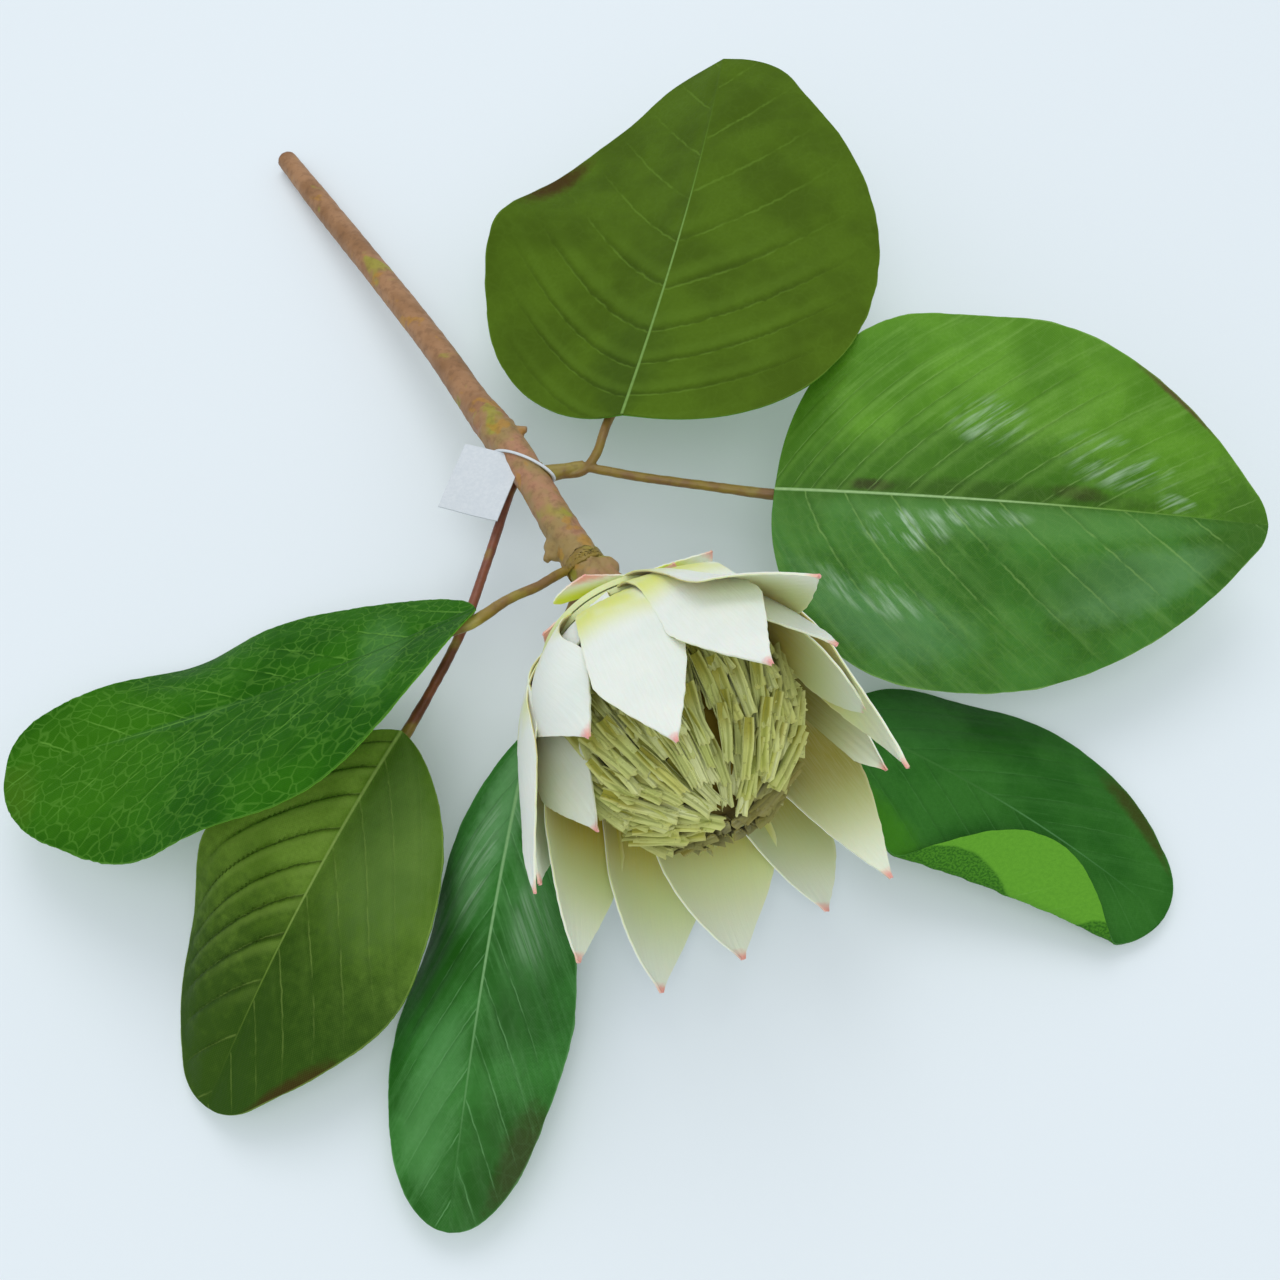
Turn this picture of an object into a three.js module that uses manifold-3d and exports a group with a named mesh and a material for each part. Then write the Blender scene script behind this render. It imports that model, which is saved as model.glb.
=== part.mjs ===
// An artificial protea on a cut stem, lying on its side on a table: a moulded stem with wired
// stalks, six pressed fabric leaves, three rings of fabric bracts, a fringed centre and a blank
// paper label. Millimetres, +Z up, the table at z = 0.
import * as THREE from "three";
import { mergeVertices } from "three/addons/utils/BufferGeometryUtils.js";
import Module from "manifold-3d";

const wasm = await Module();
wasm.setup();

const DEG = Math.PI / 180;

// Clearance that keeps neighbouring pieces apart.
const GAP = 0.3;

// Stem: centre line from the cut end to the head, and the radius at each point.
const STEM_LINE = [
  [-139, 228, 3.9], [-123, 203, 7], [-86, 145, 16], [-69, 117, 21], [-55.6, 92.6, 26],
  [-46.5, 77, 30], [-34.3, 55, 35], [-25, 36.3, 37.5], [-16, 19.5, 39.5], [-6.3, 0.5, 41.2],
];
const STEM_RADII = [3.8, 4.4, 4.8, 4.9, 5.1, 6, 4.7, 5.1, 5.6, 5];
const STEM_RINGS = 22;
const STEM_SIDES = 12;
const BUMP_SIDES = [10, 6];
const STUB_TIP = 0.5;
const STUB_SIDES = 7;

// Bumps and broken stubs on the stem: centre, half sizes, and the way each one points.
const STEM_BUMPS = [
  { at: [-46.5, 77, 33], size: [3.2, 4.2, 3.2], yaw: -60 },
  { at: [-26, 27, 37.5], size: [3, 4.2, 2.6], yaw: -150 },
  { at: [-10, 18.5, 41.5], size: [4.8, 4.8, 4], yaw: -20 },
];
const STEM_STUBS = [
  { from: [-40, 74, 32], to: [-33.5, 75.5, 33.5], radius: 2.6 },
  { from: [-26, 29, 37.5], to: [-28.6, 22.4, 38], radius: 2.4 },
  { from: [-9, 18, 42.5], to: [-6.4, 13, 45.3], radius: 2.2 },
];

// Head frame: the foot of the bracts, and the way the flower looks.
const HEAD_FOOT = [-4, -6, 43];
const HEAD_YAW = -69.5;
const HEAD_PITCH = 17;
const PEG_RADIUS = 2.6;
const PEG_REACH = 16;
const PEG_SIDES = 14;
const FLANGE_RADIUS = 8.5;
const FLANGE_FOOT = 4.6;
const FLANGE_HEIGHT = 5;
const FLANGE_SIDES = 18;

// Bracts: the angle from the flower's axis along a bract, at distances from the foot.
const CUP_START = 8;
const CUP_ANGLES = [[0, 78], [10, 66], [22, 38], [38, 12], [62, 0]];
const CUP_END = 17;
const CUP_WALL = 1.5;
const CUP_SIDES = 18;
const LAYER_PITCH = 1.9;
const LAYER_SPREAD = 3.6;
const BRACT_THICK = 0.7;
const BRACT_HALF_WIDTH = 15.5;
const BRACT_CURVE = 1 / 34;
const BRACT_START = 9;
const BRACT_FOOT_WIDTH = 0.3;
const BRACT_WIDEST = 0.6;
const BRACT_POINT = 1.7;
const BRACT_STEPS = 9;
const BRACT_ACROSS = 4;

// Each bract: turn round the axis, opening angle, length, share of the full width, and how far
// its face leans round towards the top.
const INNER_BRACTS = [
  [-12, 14, 97, 1, 0], [49, 12.5, 94, 1, 0], [133, 26, 100, 1, 15],
  [179, 26, 97, 1, 0], [-128, 22, 95, 1, -25], [-56, 2, 92, 0.95, 0],
];
const MIDDLE_BRACTS = [
  [14, 22, 97, 1.05, 0], [74, 9.5, 100, 0.95, 0], [155, 36, 96, 1, 8],
  [-159, 32, 99, 1, -6], [-83, 10, 93, 0.75, -12], [-30, 23, 98, 1, 0],
];
const OUTER_BRACTS = [
  [31, 39, 84, 0.95, 0], [109, 20, 80, 0.8, 10], [-110, 14, 46, 0.6, 0], [168, 26, 50, 0.7, 0],
  [14, 25, 41, 0.6, 0], [-15, 36, 38, 0.8, 0], [-42, 6, 38, 0.6, 0],
];
// Short bracts open near their foot, long ones further along.
const SHORT_BRACT = 60;
const SHORT_OPENS = 6;
const LONG_OPENS = 22;

// Flower centre: outline of the solid core (radius, height on the axis), and its fringe.
const CORE_PROFILE = [[9, 1.8], [17, 6.8], [24, 19], [28, 33], [27.5, 47], [22, 60], [12, 69]];
const CORE_TOP = 72;
const CORE_SIDES = 16;
const FRINGE_TIERS = [
  { height: 13, radius: 19, count: 12 }, { height: 22, radius: 25, count: 15 },
  { height: 31, radius: 27.5, count: 16 }, { height: 41, radius: 28, count: 16 },
  { height: 51, radius: 26, count: 14 }, { height: 59, radius: 21.5, count: 11 },
  { height: 66, radius: 14, count: 8 },
];
const FRINGE_WIDTH = 4.8;
const FRINGE_LENGTH = 15;
const FRINGE_THICK = 1.8;
const FRINGE_SINK = 3;
const FRINGE_LIFT = [9, 14];
const FRINGE_SEED = 7;
// Slope of the core's side against the axis, at heights on it.
const CORE_SLOPES = [[10, 24], [24, 8], [40, -4], [54, -22], [66, -46], [74, -66]];

// Leaves: fabric thickness and the grid of each blade.
const LEAF_THICK = 0.7;
const LEAF_STEPS = 14;
const LEAF_SIDE_STEPS = 3;
const LEAF_END = 0.03;
const DIP_REACH = 0.16;

// A margin folded back over its leaf: bend radius, how far it turns, and its least width.
const FLAP_BEND = 1.9;
const FLAP_TURN = 172;
const FLAP_LEAST = 1.2;

// Each leaf: foot of the midrib, then how yaw, pitch and roll run from foot to tip in degrees,
// length, half widths, fullness of the outline, fold at the midrib and curl of both halves, and
// one dip (depth, place along the leaf) in each half. The socket is where the stalk meets the
// midrib, and a flap is the stretch of the right margin that is folded over.
const LEAVES = {
  top: {
    foot: [-5.5, 67.2, 51.3], yaw: [74, 80.8], pitch: [1.6, -2.2], roll: [-23, -24.2],
    length: 165, left: 66.8, right: 66.8, rise: 0.45, fall: 0.68, fold: -13.9, curl: [38, -14.5],
    dip: [[-11.4, 0.48], [1.3, 0.58]], socket: 0.14,
  },
  right: {
    foot: [41.9, 49.2, 37.1], yaw: [-10, 1.6], pitch: [10.8, -13.3], roll: [0.5, 20.9],
    length: 154, left: 63.5, right: 62, rise: 0.44, fall: 0.81, fold: 6.4, curl: [12, -28],
    dip: [[8.8, 0.37], [-3.9, 0.38]], socket: 0.02,
  },
  left: {
    foot: [-46.9, -0.7, 49.9], yaw: [-160.6, -170.6], pitch: [-16.4, -9.1], roll: [43, 7.4],
    length: 148, left: 54.5, right: 34, rise: 0.63, fall: 0.67, fold: 9.9, curl: [-30, -13],
    dip: [[-9.3, 0.54], [10, 0.67]], socket: 0.02,
  },
  lower_left: {
    foot: [-69.2, -28.8, 27.4], yaw: [-117.7, -112.9], pitch: [-1.8, -21], roll: [5.6, 23.4],
    length: 114.5, left: 40, right: 38, rise: 0.71, fall: 0.68, fold: 5.7, curl: [-15, -32],
    dip: [[7.2, 0.65], [-13, 0.41]], socket: 0.02,
  },
  bottom: {
    foot: [-32, -25, 20.6], yaw: [-99.6, -94.9], pitch: [2.2, -13], roll: [18, 5.6],
    length: 138.4, left: 24.4, right: 24.8, rise: 0.74, fall: 0.5, fold: 2, curl: [-11.5, -20.8],
    dip: [[9.5, 0.6], [10.7, 0.46]], socket: 0.04,
  },
  lower_right: {
    foot: [58.1, -20.6, 19], yaw: [-23.5, -39], pitch: [-3.1, -12.8], roll: [-15.5, 2.6],
    length: 110.6, left: 36.4, right: 37.5, rise: 0.58, fall: 0.64, fold: 0.8, curl: [-22.4, -9],
    dip: [[5.8, 0.28], [0, 0.5]], socket: 0.02, flap: [0.26, 0.93],
  },
};

// Stalks: wire covered in plastic, from the stem to a socket and on under the midrib.
const STALK_RADIUS = 1.5;
const SOCKET_RADIUS = 1.9;
const RIB_RADIUS = 1.1;
const RIB_TIP_RADIUS = 0.7;
const RIB_REACH = 0.6;
const RIB_DROP = 0.5;
const STALK_SIDES = 7;
const STALK_RINGS = 20;
const FORK_TRUNK = [[-32, 56, 35], [-25, 57.5, 35], [-17.5, 59.3, 36]];
const FORK_TRUNK_RADII = [3.4, 2.8, 2.3];
const FORK_RINGS = 8;
const STALKS = {
  top: [[-19, 59, 35.8], [-14.6, 63.3, 40], [-11.8, 66.4, 43], [-9.5, 72, 43.6]],
  right: [[-19, 58.9, 36], [0, 54.4, 36.5], [20, 51.5, 36]],
  left: [[-13, 22, 39], [-22.8, 17.1, 41], [-30, 9.7, 45], [-38, 4, 47.5]],
  lower_left: [[-37, 62, 32], [-41, 54, 29.5], [-46, 33, 29], [-53, 6, 28.5], [-62, -15, 26]],
  bottom: [[-12, 20, 40], [-19, 14, 32], [-26, -3, 23], [-30, -17, 19.2]],
  lower_right: [[-12, 20, 40], [-2, 18, 31], [20, 10, 25], [42, -8, 21.5]],
};

// Label: a paper flag held by a narrow strap round the stem.
const LABEL_CENTRE = [-49.8, 53.2, 35.4];
const LABEL_SIZE = [20, 23.5, 0.7];
const LABEL_YAW = -19;
const LABEL_TILT = [7, -5];
const STRAP_CENTRE = [-36.5, 59.8, 33];
const STRAP_WIDTH = 1.2;
const STRAP_WALL = 1.3;
const STRAP_YAW = -30;
const STRAP_REACH = 40;

function vec(p) {
  return new THREE.Vector3(p[0], p[1], p[2]);
}

function blend(a, b, t) {
  return a + (b - a) * t;
}

function smooth(t) {
  const x = Math.min(Math.max(t, 0), 1);
  return x * x * (3 - 2 * x);
}

function lookUp(table, x) {
  for (let i = 1; i < table.length; i++) {
    if (x <= table[i][0]) {
      const t = (x - table[i - 1][0]) / (table[i][0] - table[i - 1][0]);
      return blend(table[i - 1][1], table[i][1], Math.max(t, 0));
    }
  }
  return table[table.length - 1][1];
}

// Pseudo random numbers between 0 and 1 from a fixed seed.
function seeded(seed) {
  let state = seed;
  return () => {
    state = (state * 1664525 + 1013904223) % 4294967296;
    return state / 4294967296;
  };
}

// Turns a three.js geometry into a solid, with its faces pointing out.
function solid(geometry) {
  const bare = geometry.index ? geometry.clone() : geometry;
  bare.deleteAttribute("normal");
  bare.deleteAttribute("uv");
  const merged = mergeVertices(bare, 1e-4);
  const points = new Float32Array(merged.attributes.position.array);
  const index = new Uint32Array(merged.index.array);
  if (signedVolume(points, index) < 0) {
    for (let i = 0; i < index.length; i += 3) {
      [index[i + 1], index[i + 2]] = [index[i + 2], index[i + 1]];
    }
  }
  const mesh = new wasm.Mesh({ numProp: 3, vertProperties: points, triVerts: index });
  return new wasm.Manifold(mesh);
}

function signedVolume(points, index) {
  let sum = 0;
  for (let i = 0; i < index.length; i += 3) {
    const [a, b, c] = [0, 1, 2].map((k) => new THREE.Vector3().fromArray(points, 3 * index[i + k]));
    sum += a.dot(b.cross(c)) / 6;
  }
  return sum;
}

// Turns a solid back into a three.js geometry.
function shell(body) {
  const mesh = body.getMesh();
  const geometry = new THREE.BufferGeometry();
  const points = [];
  for (let i = 0; i < mesh.vertProperties.length; i += mesh.numProp) {
    points.push(...mesh.vertProperties.slice(i, i + 3));
  }
  geometry.setAttribute("position", new THREE.Float32BufferAttribute(points, 3));
  geometry.setIndex(Array.from(mesh.triVerts));
  return geometry;
}

// The largest piece of a solid, without the crumbs that a cut can leave.
function mainPiece(body) {
  const pieces = body.decompose();
  return pieces.reduce((best, piece) => (piece.volume() > best.volume() ? piece : best));
}

// Joins solids into one.
function fuse(bodies) {
  return bodies.reduce((sum, body) => sum.add(body));
}

// A closed body through rings of points, with a flat fan at both ends.
function loft(rings) {
  const sides = rings[0].length;
  const points = rings.flat().flatMap((p) => p.toArray());
  const index = [];
  for (let i = 0; i + 1 < rings.length; i++) {
    for (let j = 0; j < sides; j++) {
      const a = i * sides + j;
      const b = i * sides + ((j + 1) % sides);
      index.push(a, b, a + sides, b, b + sides, a + sides);
    }
  }
  const last = (rings.length - 1) * sides;
  for (let j = 1; j + 1 < sides; j++) {
    index.push(0, j + 1, j);
    index.push(last, last + j, last + j + 1);
  }
  const geometry = new THREE.BufferGeometry();
  geometry.setAttribute("position", new THREE.Float32BufferAttribute(points, 3));
  geometry.setIndex(index);
  return geometry;
}

// A closed body between two grids of points, with the same triangles on both faces.
function sheet(front, back) {
  const rows = front.length;
  const cols = front[0].length;
  const points = [...front, ...back].flat().flatMap((p) => p.toArray());
  const index = [];
  const at = (side, i, j) => side * rows * cols + i * cols + j;
  for (let i = 0; i + 1 < rows; i++) {
    for (let j = 0; j + 1 < cols; j++) {
      index.push(at(0, i, j), at(0, i + 1, j), at(0, i, j + 1));
      index.push(at(0, i, j + 1), at(0, i + 1, j), at(0, i + 1, j + 1));
      index.push(at(1, i, j), at(1, i, j + 1), at(1, i + 1, j));
      index.push(at(1, i, j + 1), at(1, i + 1, j + 1), at(1, i + 1, j));
    }
  }
  const rim = [];
  for (let j = 0; j < cols; j++) rim.push([0, j]);
  for (let i = 1; i < rows; i++) rim.push([i, cols - 1]);
  for (let j = cols - 2; j >= 0; j--) rim.push([rows - 1, j]);
  for (let i = rows - 2; i > 0; i--) rim.push([i, 0]);
  rim.forEach(([i, j], k) => {
    const [m, n] = rim[(k + 1) % rim.length];
    index.push(at(0, i, j), at(0, m, n), at(1, i, j));
    index.push(at(0, m, n), at(1, m, n), at(1, i, j));
  });
  const geometry = new THREE.BufferGeometry();
  geometry.setAttribute("position", new THREE.Float32BufferAttribute(points, 3));
  geometry.setIndex(index);
  return geometry;
}

// A round tube along a smooth curve, with a radius that changes along it.
function tube(line, radii, rings, sides) {
  const curve = new THREE.CatmullRomCurve3(line.map(vec), false, "centripetal");
  const frames = curve.computeFrenetFrames(rings, false);
  const marks = radii.map((radius, i) => [i / (radii.length - 1), radius]);
  const hoops = [];
  for (let i = 0; i <= rings; i++) {
    const u = i / rings;
    const radius = lookUp(marks, curve.getUtoTmapping(u));
    const centre = curve.getPointAt(u);
    const hoop = [];
    for (let j = 0; j < sides; j++) {
      const angle = (2 * Math.PI * j) / sides;
      const across = frames.normals[i].clone().multiplyScalar(radius * Math.cos(angle));
      const over = frames.binormals[i].clone().multiplyScalar(radius * Math.sin(angle));
      hoop.push(centre.clone().add(across).add(over));
    }
    hoops.push(hoop);
  }
  return loft(hoops);
}

function cone(from, to, radius, tip) {
  const a = vec(from);
  const b = vec(to);
  const geometry = new THREE.CylinderGeometry(tip, radius, a.distanceTo(b), STUB_SIDES);
  geometry.translate(0, a.distanceTo(b) / 2, 0);
  const up = new THREE.Vector3(0, 1, 0);
  geometry.applyQuaternion(new THREE.Quaternion().setFromUnitVectors(up, b.sub(a).normalize()));
  geometry.translate(a.x, a.y, a.z);
  return geometry;
}

// Axes of the head: x to its right, y along the flower, z down.
function headAxes() {
  const yaw = HEAD_YAW * DEG;
  const pitch = HEAD_PITCH * DEG;
  const out = new THREE.Vector3(
    Math.cos(yaw) * Math.cos(pitch), Math.sin(yaw) * Math.cos(pitch), Math.sin(pitch));
  const side = new THREE.Vector3(0, 0, 1).cross(out).normalize();
  const down = side.clone().cross(out);
  return new THREE.Matrix4().makeBasis(side, out, down).setPosition(vec(HEAD_FOOT));
}

const HEAD = headAxes();

// The stem alone, grown by a clearance where it cuts its neighbours.
function stemBody(grow) {
  const radii = STEM_RADII.map((radius) => radius + grow);
  const parts = [solid(tube(STEM_LINE, radii, STEM_RINGS, STEM_SIDES))];
  for (const bump of STEM_BUMPS) {
    const ball = new THREE.SphereGeometry(1, ...BUMP_SIDES);
    ball.scale(bump.size[0] + grow, bump.size[1] + grow, bump.size[2] + grow);
    ball.rotateZ(bump.yaw * DEG);
    ball.translate(...bump.at);
    parts.push(solid(ball));
  }
  for (const stub of STEM_STUBS) {
    parts.push(solid(cone(stub.from, stub.to, stub.radius + grow, STUB_TIP + grow)));
  }
  return fuse(parts);
}

// Lowest face of the stack of bract cups, where the stem's flange stops.
const STACK_FOOT = -2 * LAYER_PITCH - CUP_WALL - GAP;

function makeStem() {
  const flange = new THREE.CylinderGeometry(
    FLANGE_RADIUS, FLANGE_FOOT, FLANGE_HEIGHT, FLANGE_SIDES);
  flange.translate(0, STACK_FOOT - FLANGE_HEIGHT / 2, 0);
  flange.applyMatrix4(HEAD);
  const length = PEG_REACH - STACK_FOOT + 2;
  const peg = new THREE.CylinderGeometry(PEG_RADIUS, PEG_RADIUS, length, PEG_SIDES);
  peg.translate(0, PEG_REACH - length / 2, 0);
  peg.applyMatrix4(HEAD);
  return fuse([stemBody(0), solid(flange), solid(peg)]);
}

// Angle between a bract and the axis, at a distance along the bract.
function bractAngle(distance, opening, opens) {
  const share = Math.min(Math.max((distance - opens) / 40, 0), 1);
  return lookUp(CUP_ANGLES, distance) + opening * share;
}

// Radius, height and angle of a bract's middle line, moved out by a layer's spread.
function bractLine(distance, opening, layer, opens = LONG_OPENS) {
  const steps = 40;
  const step = distance / steps;
  let radius = CUP_START;
  let height = 0;
  for (let i = 0; i < steps; i++) {
    const angle = bractAngle((i + 0.5) * step, opening, opens) * DEG;
    radius += Math.sin(angle) * step;
    height += Math.cos(angle) * step;
  }
  const angle = bractAngle(distance, opening, opens) * DEG;
  const out = layer * blend(LAYER_PITCH, LAYER_SPREAD, smooth((distance - 14) / 26));
  radius += out * Math.cos(angle);
  height -= out * Math.sin(angle);
  return { radius, height, angle };
}

// Half width of a bract: narrow at the foot, widest past the middle, then a pointed arch.
function bractHalfWidth(share) {
  if (share < BRACT_WIDEST) return blend(BRACT_FOOT_WIDTH, 1, smooth(share / BRACT_WIDEST));
  return Math.max(1 - ((share - BRACT_WIDEST) / (1 - BRACT_WIDEST)) ** BRACT_POINT, 0.05);
}

// The way out from the axis at a turn round it.
function ringWay(theta) {
  return new THREE.Vector3(Math.sin(theta), 0, -Math.cos(theta));
}

function bractBody(layer, [turn, opening, length, width, lean]) {
  const opens = length < SHORT_BRACT ? SHORT_OPENS : LONG_OPENS;
  const front = [];
  const back = [];
  const out = ringWay(turn * DEG);
  for (let i = 0; i <= BRACT_STEPS; i++) {
    const share = i / BRACT_STEPS;
    const distance = blend(BRACT_START, length, share);
    const { radius, height, angle } = bractLine(distance, opening, layer, opens);
    const half = width * BRACT_HALF_WIDTH * bractHalfWidth(distance / length);
    const curve = BRACT_CURVE * blend(0.25, 1, smooth((distance - 12) / 26));
    const middle = out.clone().multiplyScalar(radius).add(new THREE.Vector3(0, height, 0));
    const facing = (turn + lean * smooth((distance - 15) / 30)) * DEG;
    const around = new THREE.Vector3(Math.cos(facing), 0, Math.sin(facing));
    const normal = ringWay(facing).multiplyScalar(Math.cos(angle));
    normal.y -= Math.sin(angle);
    const rows = [[], []];
    for (let j = 0; j <= BRACT_ACROSS; j++) {
      const bend = (2 * j / BRACT_ACROSS - 1) * half * curve;
      const point = middle.clone()
        .addScaledVector(around, Math.sin(bend) / curve)
        .addScaledVector(normal, (Math.cos(bend) - 1) / curve);
      const thick = normal.clone().multiplyScalar(Math.cos(bend))
        .addScaledVector(around, Math.sin(bend)).multiplyScalar(BRACT_THICK / 2);
      rows[0].push(point.clone().add(thick));
      rows[1].push(point.clone().sub(thick));
    }
    front.push(rows[0]);
    back.push(rows[1]);
  }
  return solid(sheet(front, back));
}

// The moulded cup that holds one ring of bracts, bored for the stem's peg.
function cupBody(layer) {
  const bore = PEG_RADIUS + GAP;
  const inside = [];
  const outside = [];
  for (let distance = 0; distance <= CUP_END + 0.01; distance += CUP_END / 3) {
    const { radius, height, angle } = bractLine(distance, 0, layer);
    const [x, y] = [Math.cos(angle), -Math.sin(angle)];
    inside.push(new THREE.Vector2(radius - x * CUP_WALL / 2, height - y * CUP_WALL / 2));
    outside.push(new THREE.Vector2(radius + x * CUP_WALL / 2, height + y * CUP_WALL / 2));
  }
  inside.unshift(new THREE.Vector2(bore, inside[0].y));
  outside.unshift(new THREE.Vector2(bore, outside[0].y));
  const loop = [...outside, ...inside.reverse()];
  loop.push(loop[0].clone());
  return solid(new THREE.LatheGeometry(loop, CUP_SIDES));
}

function makeBractLayer(layer, bracts) {
  const lobes = bracts.map((bract) => bractBody(layer, bract));
  return fuse([cupBody(layer), ...lobes]);
}

// The core with a blind bore for the peg, and tiers of short strips that point to the top.
function makeCentre() {
  const points = CORE_PROFILE.map(([radius, height]) => new THREE.Vector2(radius, height));
  const loop = [new THREE.Vector2(0, CORE_PROFILE[0][1]), ...points, new THREE.Vector2(0, CORE_TOP)];
  const core = solid(new THREE.LatheGeometry(loop, CORE_SIDES));
  const depth = PEG_REACH + GAP;
  const bore = new THREE.CylinderGeometry(PEG_RADIUS + GAP, PEG_RADIUS + GAP, depth, PEG_SIDES);
  bore.translate(0, depth / 2, 0);
  const random = seeded(FRINGE_SEED);
  const strips = [];
  FRINGE_TIERS.forEach((tier, row) => {
    const slope = lookUp(CORE_SLOPES, tier.height);
    for (let k = 0; k < tier.count; k++) {
      const length = FRINGE_LENGTH * (0.85 + 0.3 * random());
      const strip = new THREE.BoxGeometry(FRINGE_WIDTH, length, FRINGE_THICK);
      strip.translate(0, length / 2 - FRINGE_SINK, 0);
      strip.rotateX((slope + blend(FRINGE_LIFT[0], FRINGE_LIFT[1], random())) * DEG);
      strip.translate(0, tier.height + 3 * (random() - 0.5), tier.radius);
      strip.rotateY(((k + 0.5 * (row % 2) + 0.3 * random()) / tier.count) * 2 * Math.PI);
      strips.push(solid(strip));
    }
  });
  return fuse([core, ...strips]).subtract(solid(bore));
}

// Frame of a leaf's midrib at a share of its length: place, side and face.
function midribFrame(leaf, u) {
  const steps = 40;
  const place = vec(leaf.foot);
  for (let i = 0; i < steps; i++) {
    place.addScaledVector(midribWay(leaf, ((i + 0.5) / steps) * u), (leaf.length * u) / steps);
  }
  const along = midribWay(leaf, u);
  const yaw = blend(leaf.yaw[0], leaf.yaw[1], u) * DEG;
  const roll = blend(leaf.roll[0], leaf.roll[1], u) * DEG;
  const level = new THREE.Vector3(-Math.sin(yaw), Math.cos(yaw), 0);
  const rise = along.clone().cross(level);
  const side = level.clone().multiplyScalar(Math.cos(roll)).addScaledVector(rise, Math.sin(roll));
  const face = rise.clone().multiplyScalar(Math.cos(roll)).addScaledVector(level, -Math.sin(roll));
  return { u, place, side, face };
}

function midribWay(leaf, u) {
  const yaw = blend(leaf.yaw[0], leaf.yaw[1], u) * DEG;
  const pitch = blend(leaf.pitch[0], leaf.pitch[1], u) * DEG;
  return new THREE.Vector3(
    Math.cos(yaw) * Math.cos(pitch), Math.sin(yaw) * Math.cos(pitch), Math.sin(pitch));
}

// Share of the full half width at a share of the leaf's length.
function leafOutline(leaf, u) {
  const top = leaf.rise / (leaf.rise + leaf.fall);
  const peak = top ** leaf.rise * (1 - top) ** leaf.fall;
  return Math.max((u ** leaf.rise * (1 - u) ** leaf.fall) / peak, LEAF_END);
}

// A point across one half of a leaf: way out from the midrib, rise over it, and slope.
function halfSection(leaf, half, u, v, reach) {
  const full = half > 0 ? leaf.left : leaf.right;
  const bend = (leaf.curl[half > 0 ? 0 : 1] * DEG) / full;
  const arc = v * reach;
  const fold = leaf.fold * DEG;
  const slope = fold + bend * arc;
  const flat = Math.abs(bend) < 1e-5;
  const out = flat ? arc * Math.cos(fold) : (Math.sin(slope) - Math.sin(fold)) / bend;
  const rise = flat ? arc * Math.sin(fold) : (Math.cos(fold) - Math.cos(slope)) / bend;
  const [depth, spot] = leaf.dip[half > 0 ? 0 : 1];
  const dip = depth * Math.exp(-(((u - spot) / DIP_REACH) ** 2)) * v * v * Math.sin(Math.PI * u);
  return { out, rise: rise - dip, slope };
}

// The margin that is folded back over a leaf: points past the fold, round a small bend.
function flapSection(edge, length) {
  const bendLength = Math.min(FLAP_BEND * FLAP_TURN * DEG, 0.75 * length);
  const spots = [];
  for (const share of [1 / 3, 2 / 3, 1]) spots.push(share * bendLength);
  for (const share of [0.5, 1]) spots.push(blend(bendLength, length, share));
  return spots.map((spot) => {
    const round = Math.min(spot, bendLength) / FLAP_BEND;
    const rest = spot - Math.min(spot, bendLength);
    const slope = edge.slope + round;
    const out = FLAP_BEND * (Math.sin(slope) - Math.sin(edge.slope)) + rest * Math.cos(slope);
    const rise = FLAP_BEND * (Math.cos(edge.slope) - Math.cos(slope)) + rest * Math.sin(slope);
    return { out: edge.out + out, rise: edge.rise + rise, slope };
  });
}

// Points across one half of a leaf, from the midrib to the margin.
function halfRow(leaf, half, u) {
  const full = half > 0 ? leaf.left : leaf.right;
  const reach = full * leafOutline(leaf, u);
  const flap = half < 0 && leaf.flap;
  if (!flap) return sectionSpots(leaf, half, u, reach);
  const [first, last] = flap;
  const share = Math.min(Math.max((u - first) / (last - first), 0), 1);
  const chord = full * blend(leafOutline(leaf, first), leafOutline(leaf, last), share);
  const inside = u > first && u < last ? Math.min(chord, reach - FLAP_LEAST) : reach - FLAP_LEAST;
  const kept = Math.max(inside, 0.5 * reach);
  const spots = sectionSpots(leaf, half, u, kept);
  return [...spots, ...flapSection(spots[spots.length - 1], reach - kept)];
}

function sectionSpots(leaf, half, u, reach) {
  const spots = [];
  for (let j = 1; j <= LEAF_SIDE_STEPS; j++) {
    spots.push(halfSection(leaf, half, u, j / LEAF_SIDE_STEPS, reach));
  }
  return spots;
}

function makeLeaf(leaf) {
  const front = [];
  const back = [];
  for (let i = 0; i <= LEAF_STEPS; i++) {
    const even = i / LEAF_STEPS;
    const u = blend(even, (1 - Math.cos(Math.PI * even)) / 2, 0.7);
    const frame = midribFrame(leaf, u);
    const right = halfRow(leaf, -1, u).map((spot) => ({ ...spot, half: -1 })).reverse();
    const left = halfRow(leaf, 1, u).map((spot) => ({ ...spot, half: 1 }));
    const rows = [[], []];
    for (const spot of [...right, { out: 0, rise: 0, slope: 0, half: 1 }, ...left]) {
      const point = frame.place.clone()
        .addScaledVector(frame.side, spot.half * spot.out).addScaledVector(frame.face, spot.rise);
      const thick = frame.face.clone().multiplyScalar(Math.cos(spot.slope))
        .addScaledVector(frame.side, -spot.half * Math.sin(spot.slope))
        .multiplyScalar(LEAF_THICK / 2);
      rows[0].push(point.clone().add(thick));
      rows[1].push(point.clone().sub(thick));
    }
    front.push(rows[0]);
    back.push(rows[1]);
  }
  return solid(sheet(front, back));
}

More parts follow.
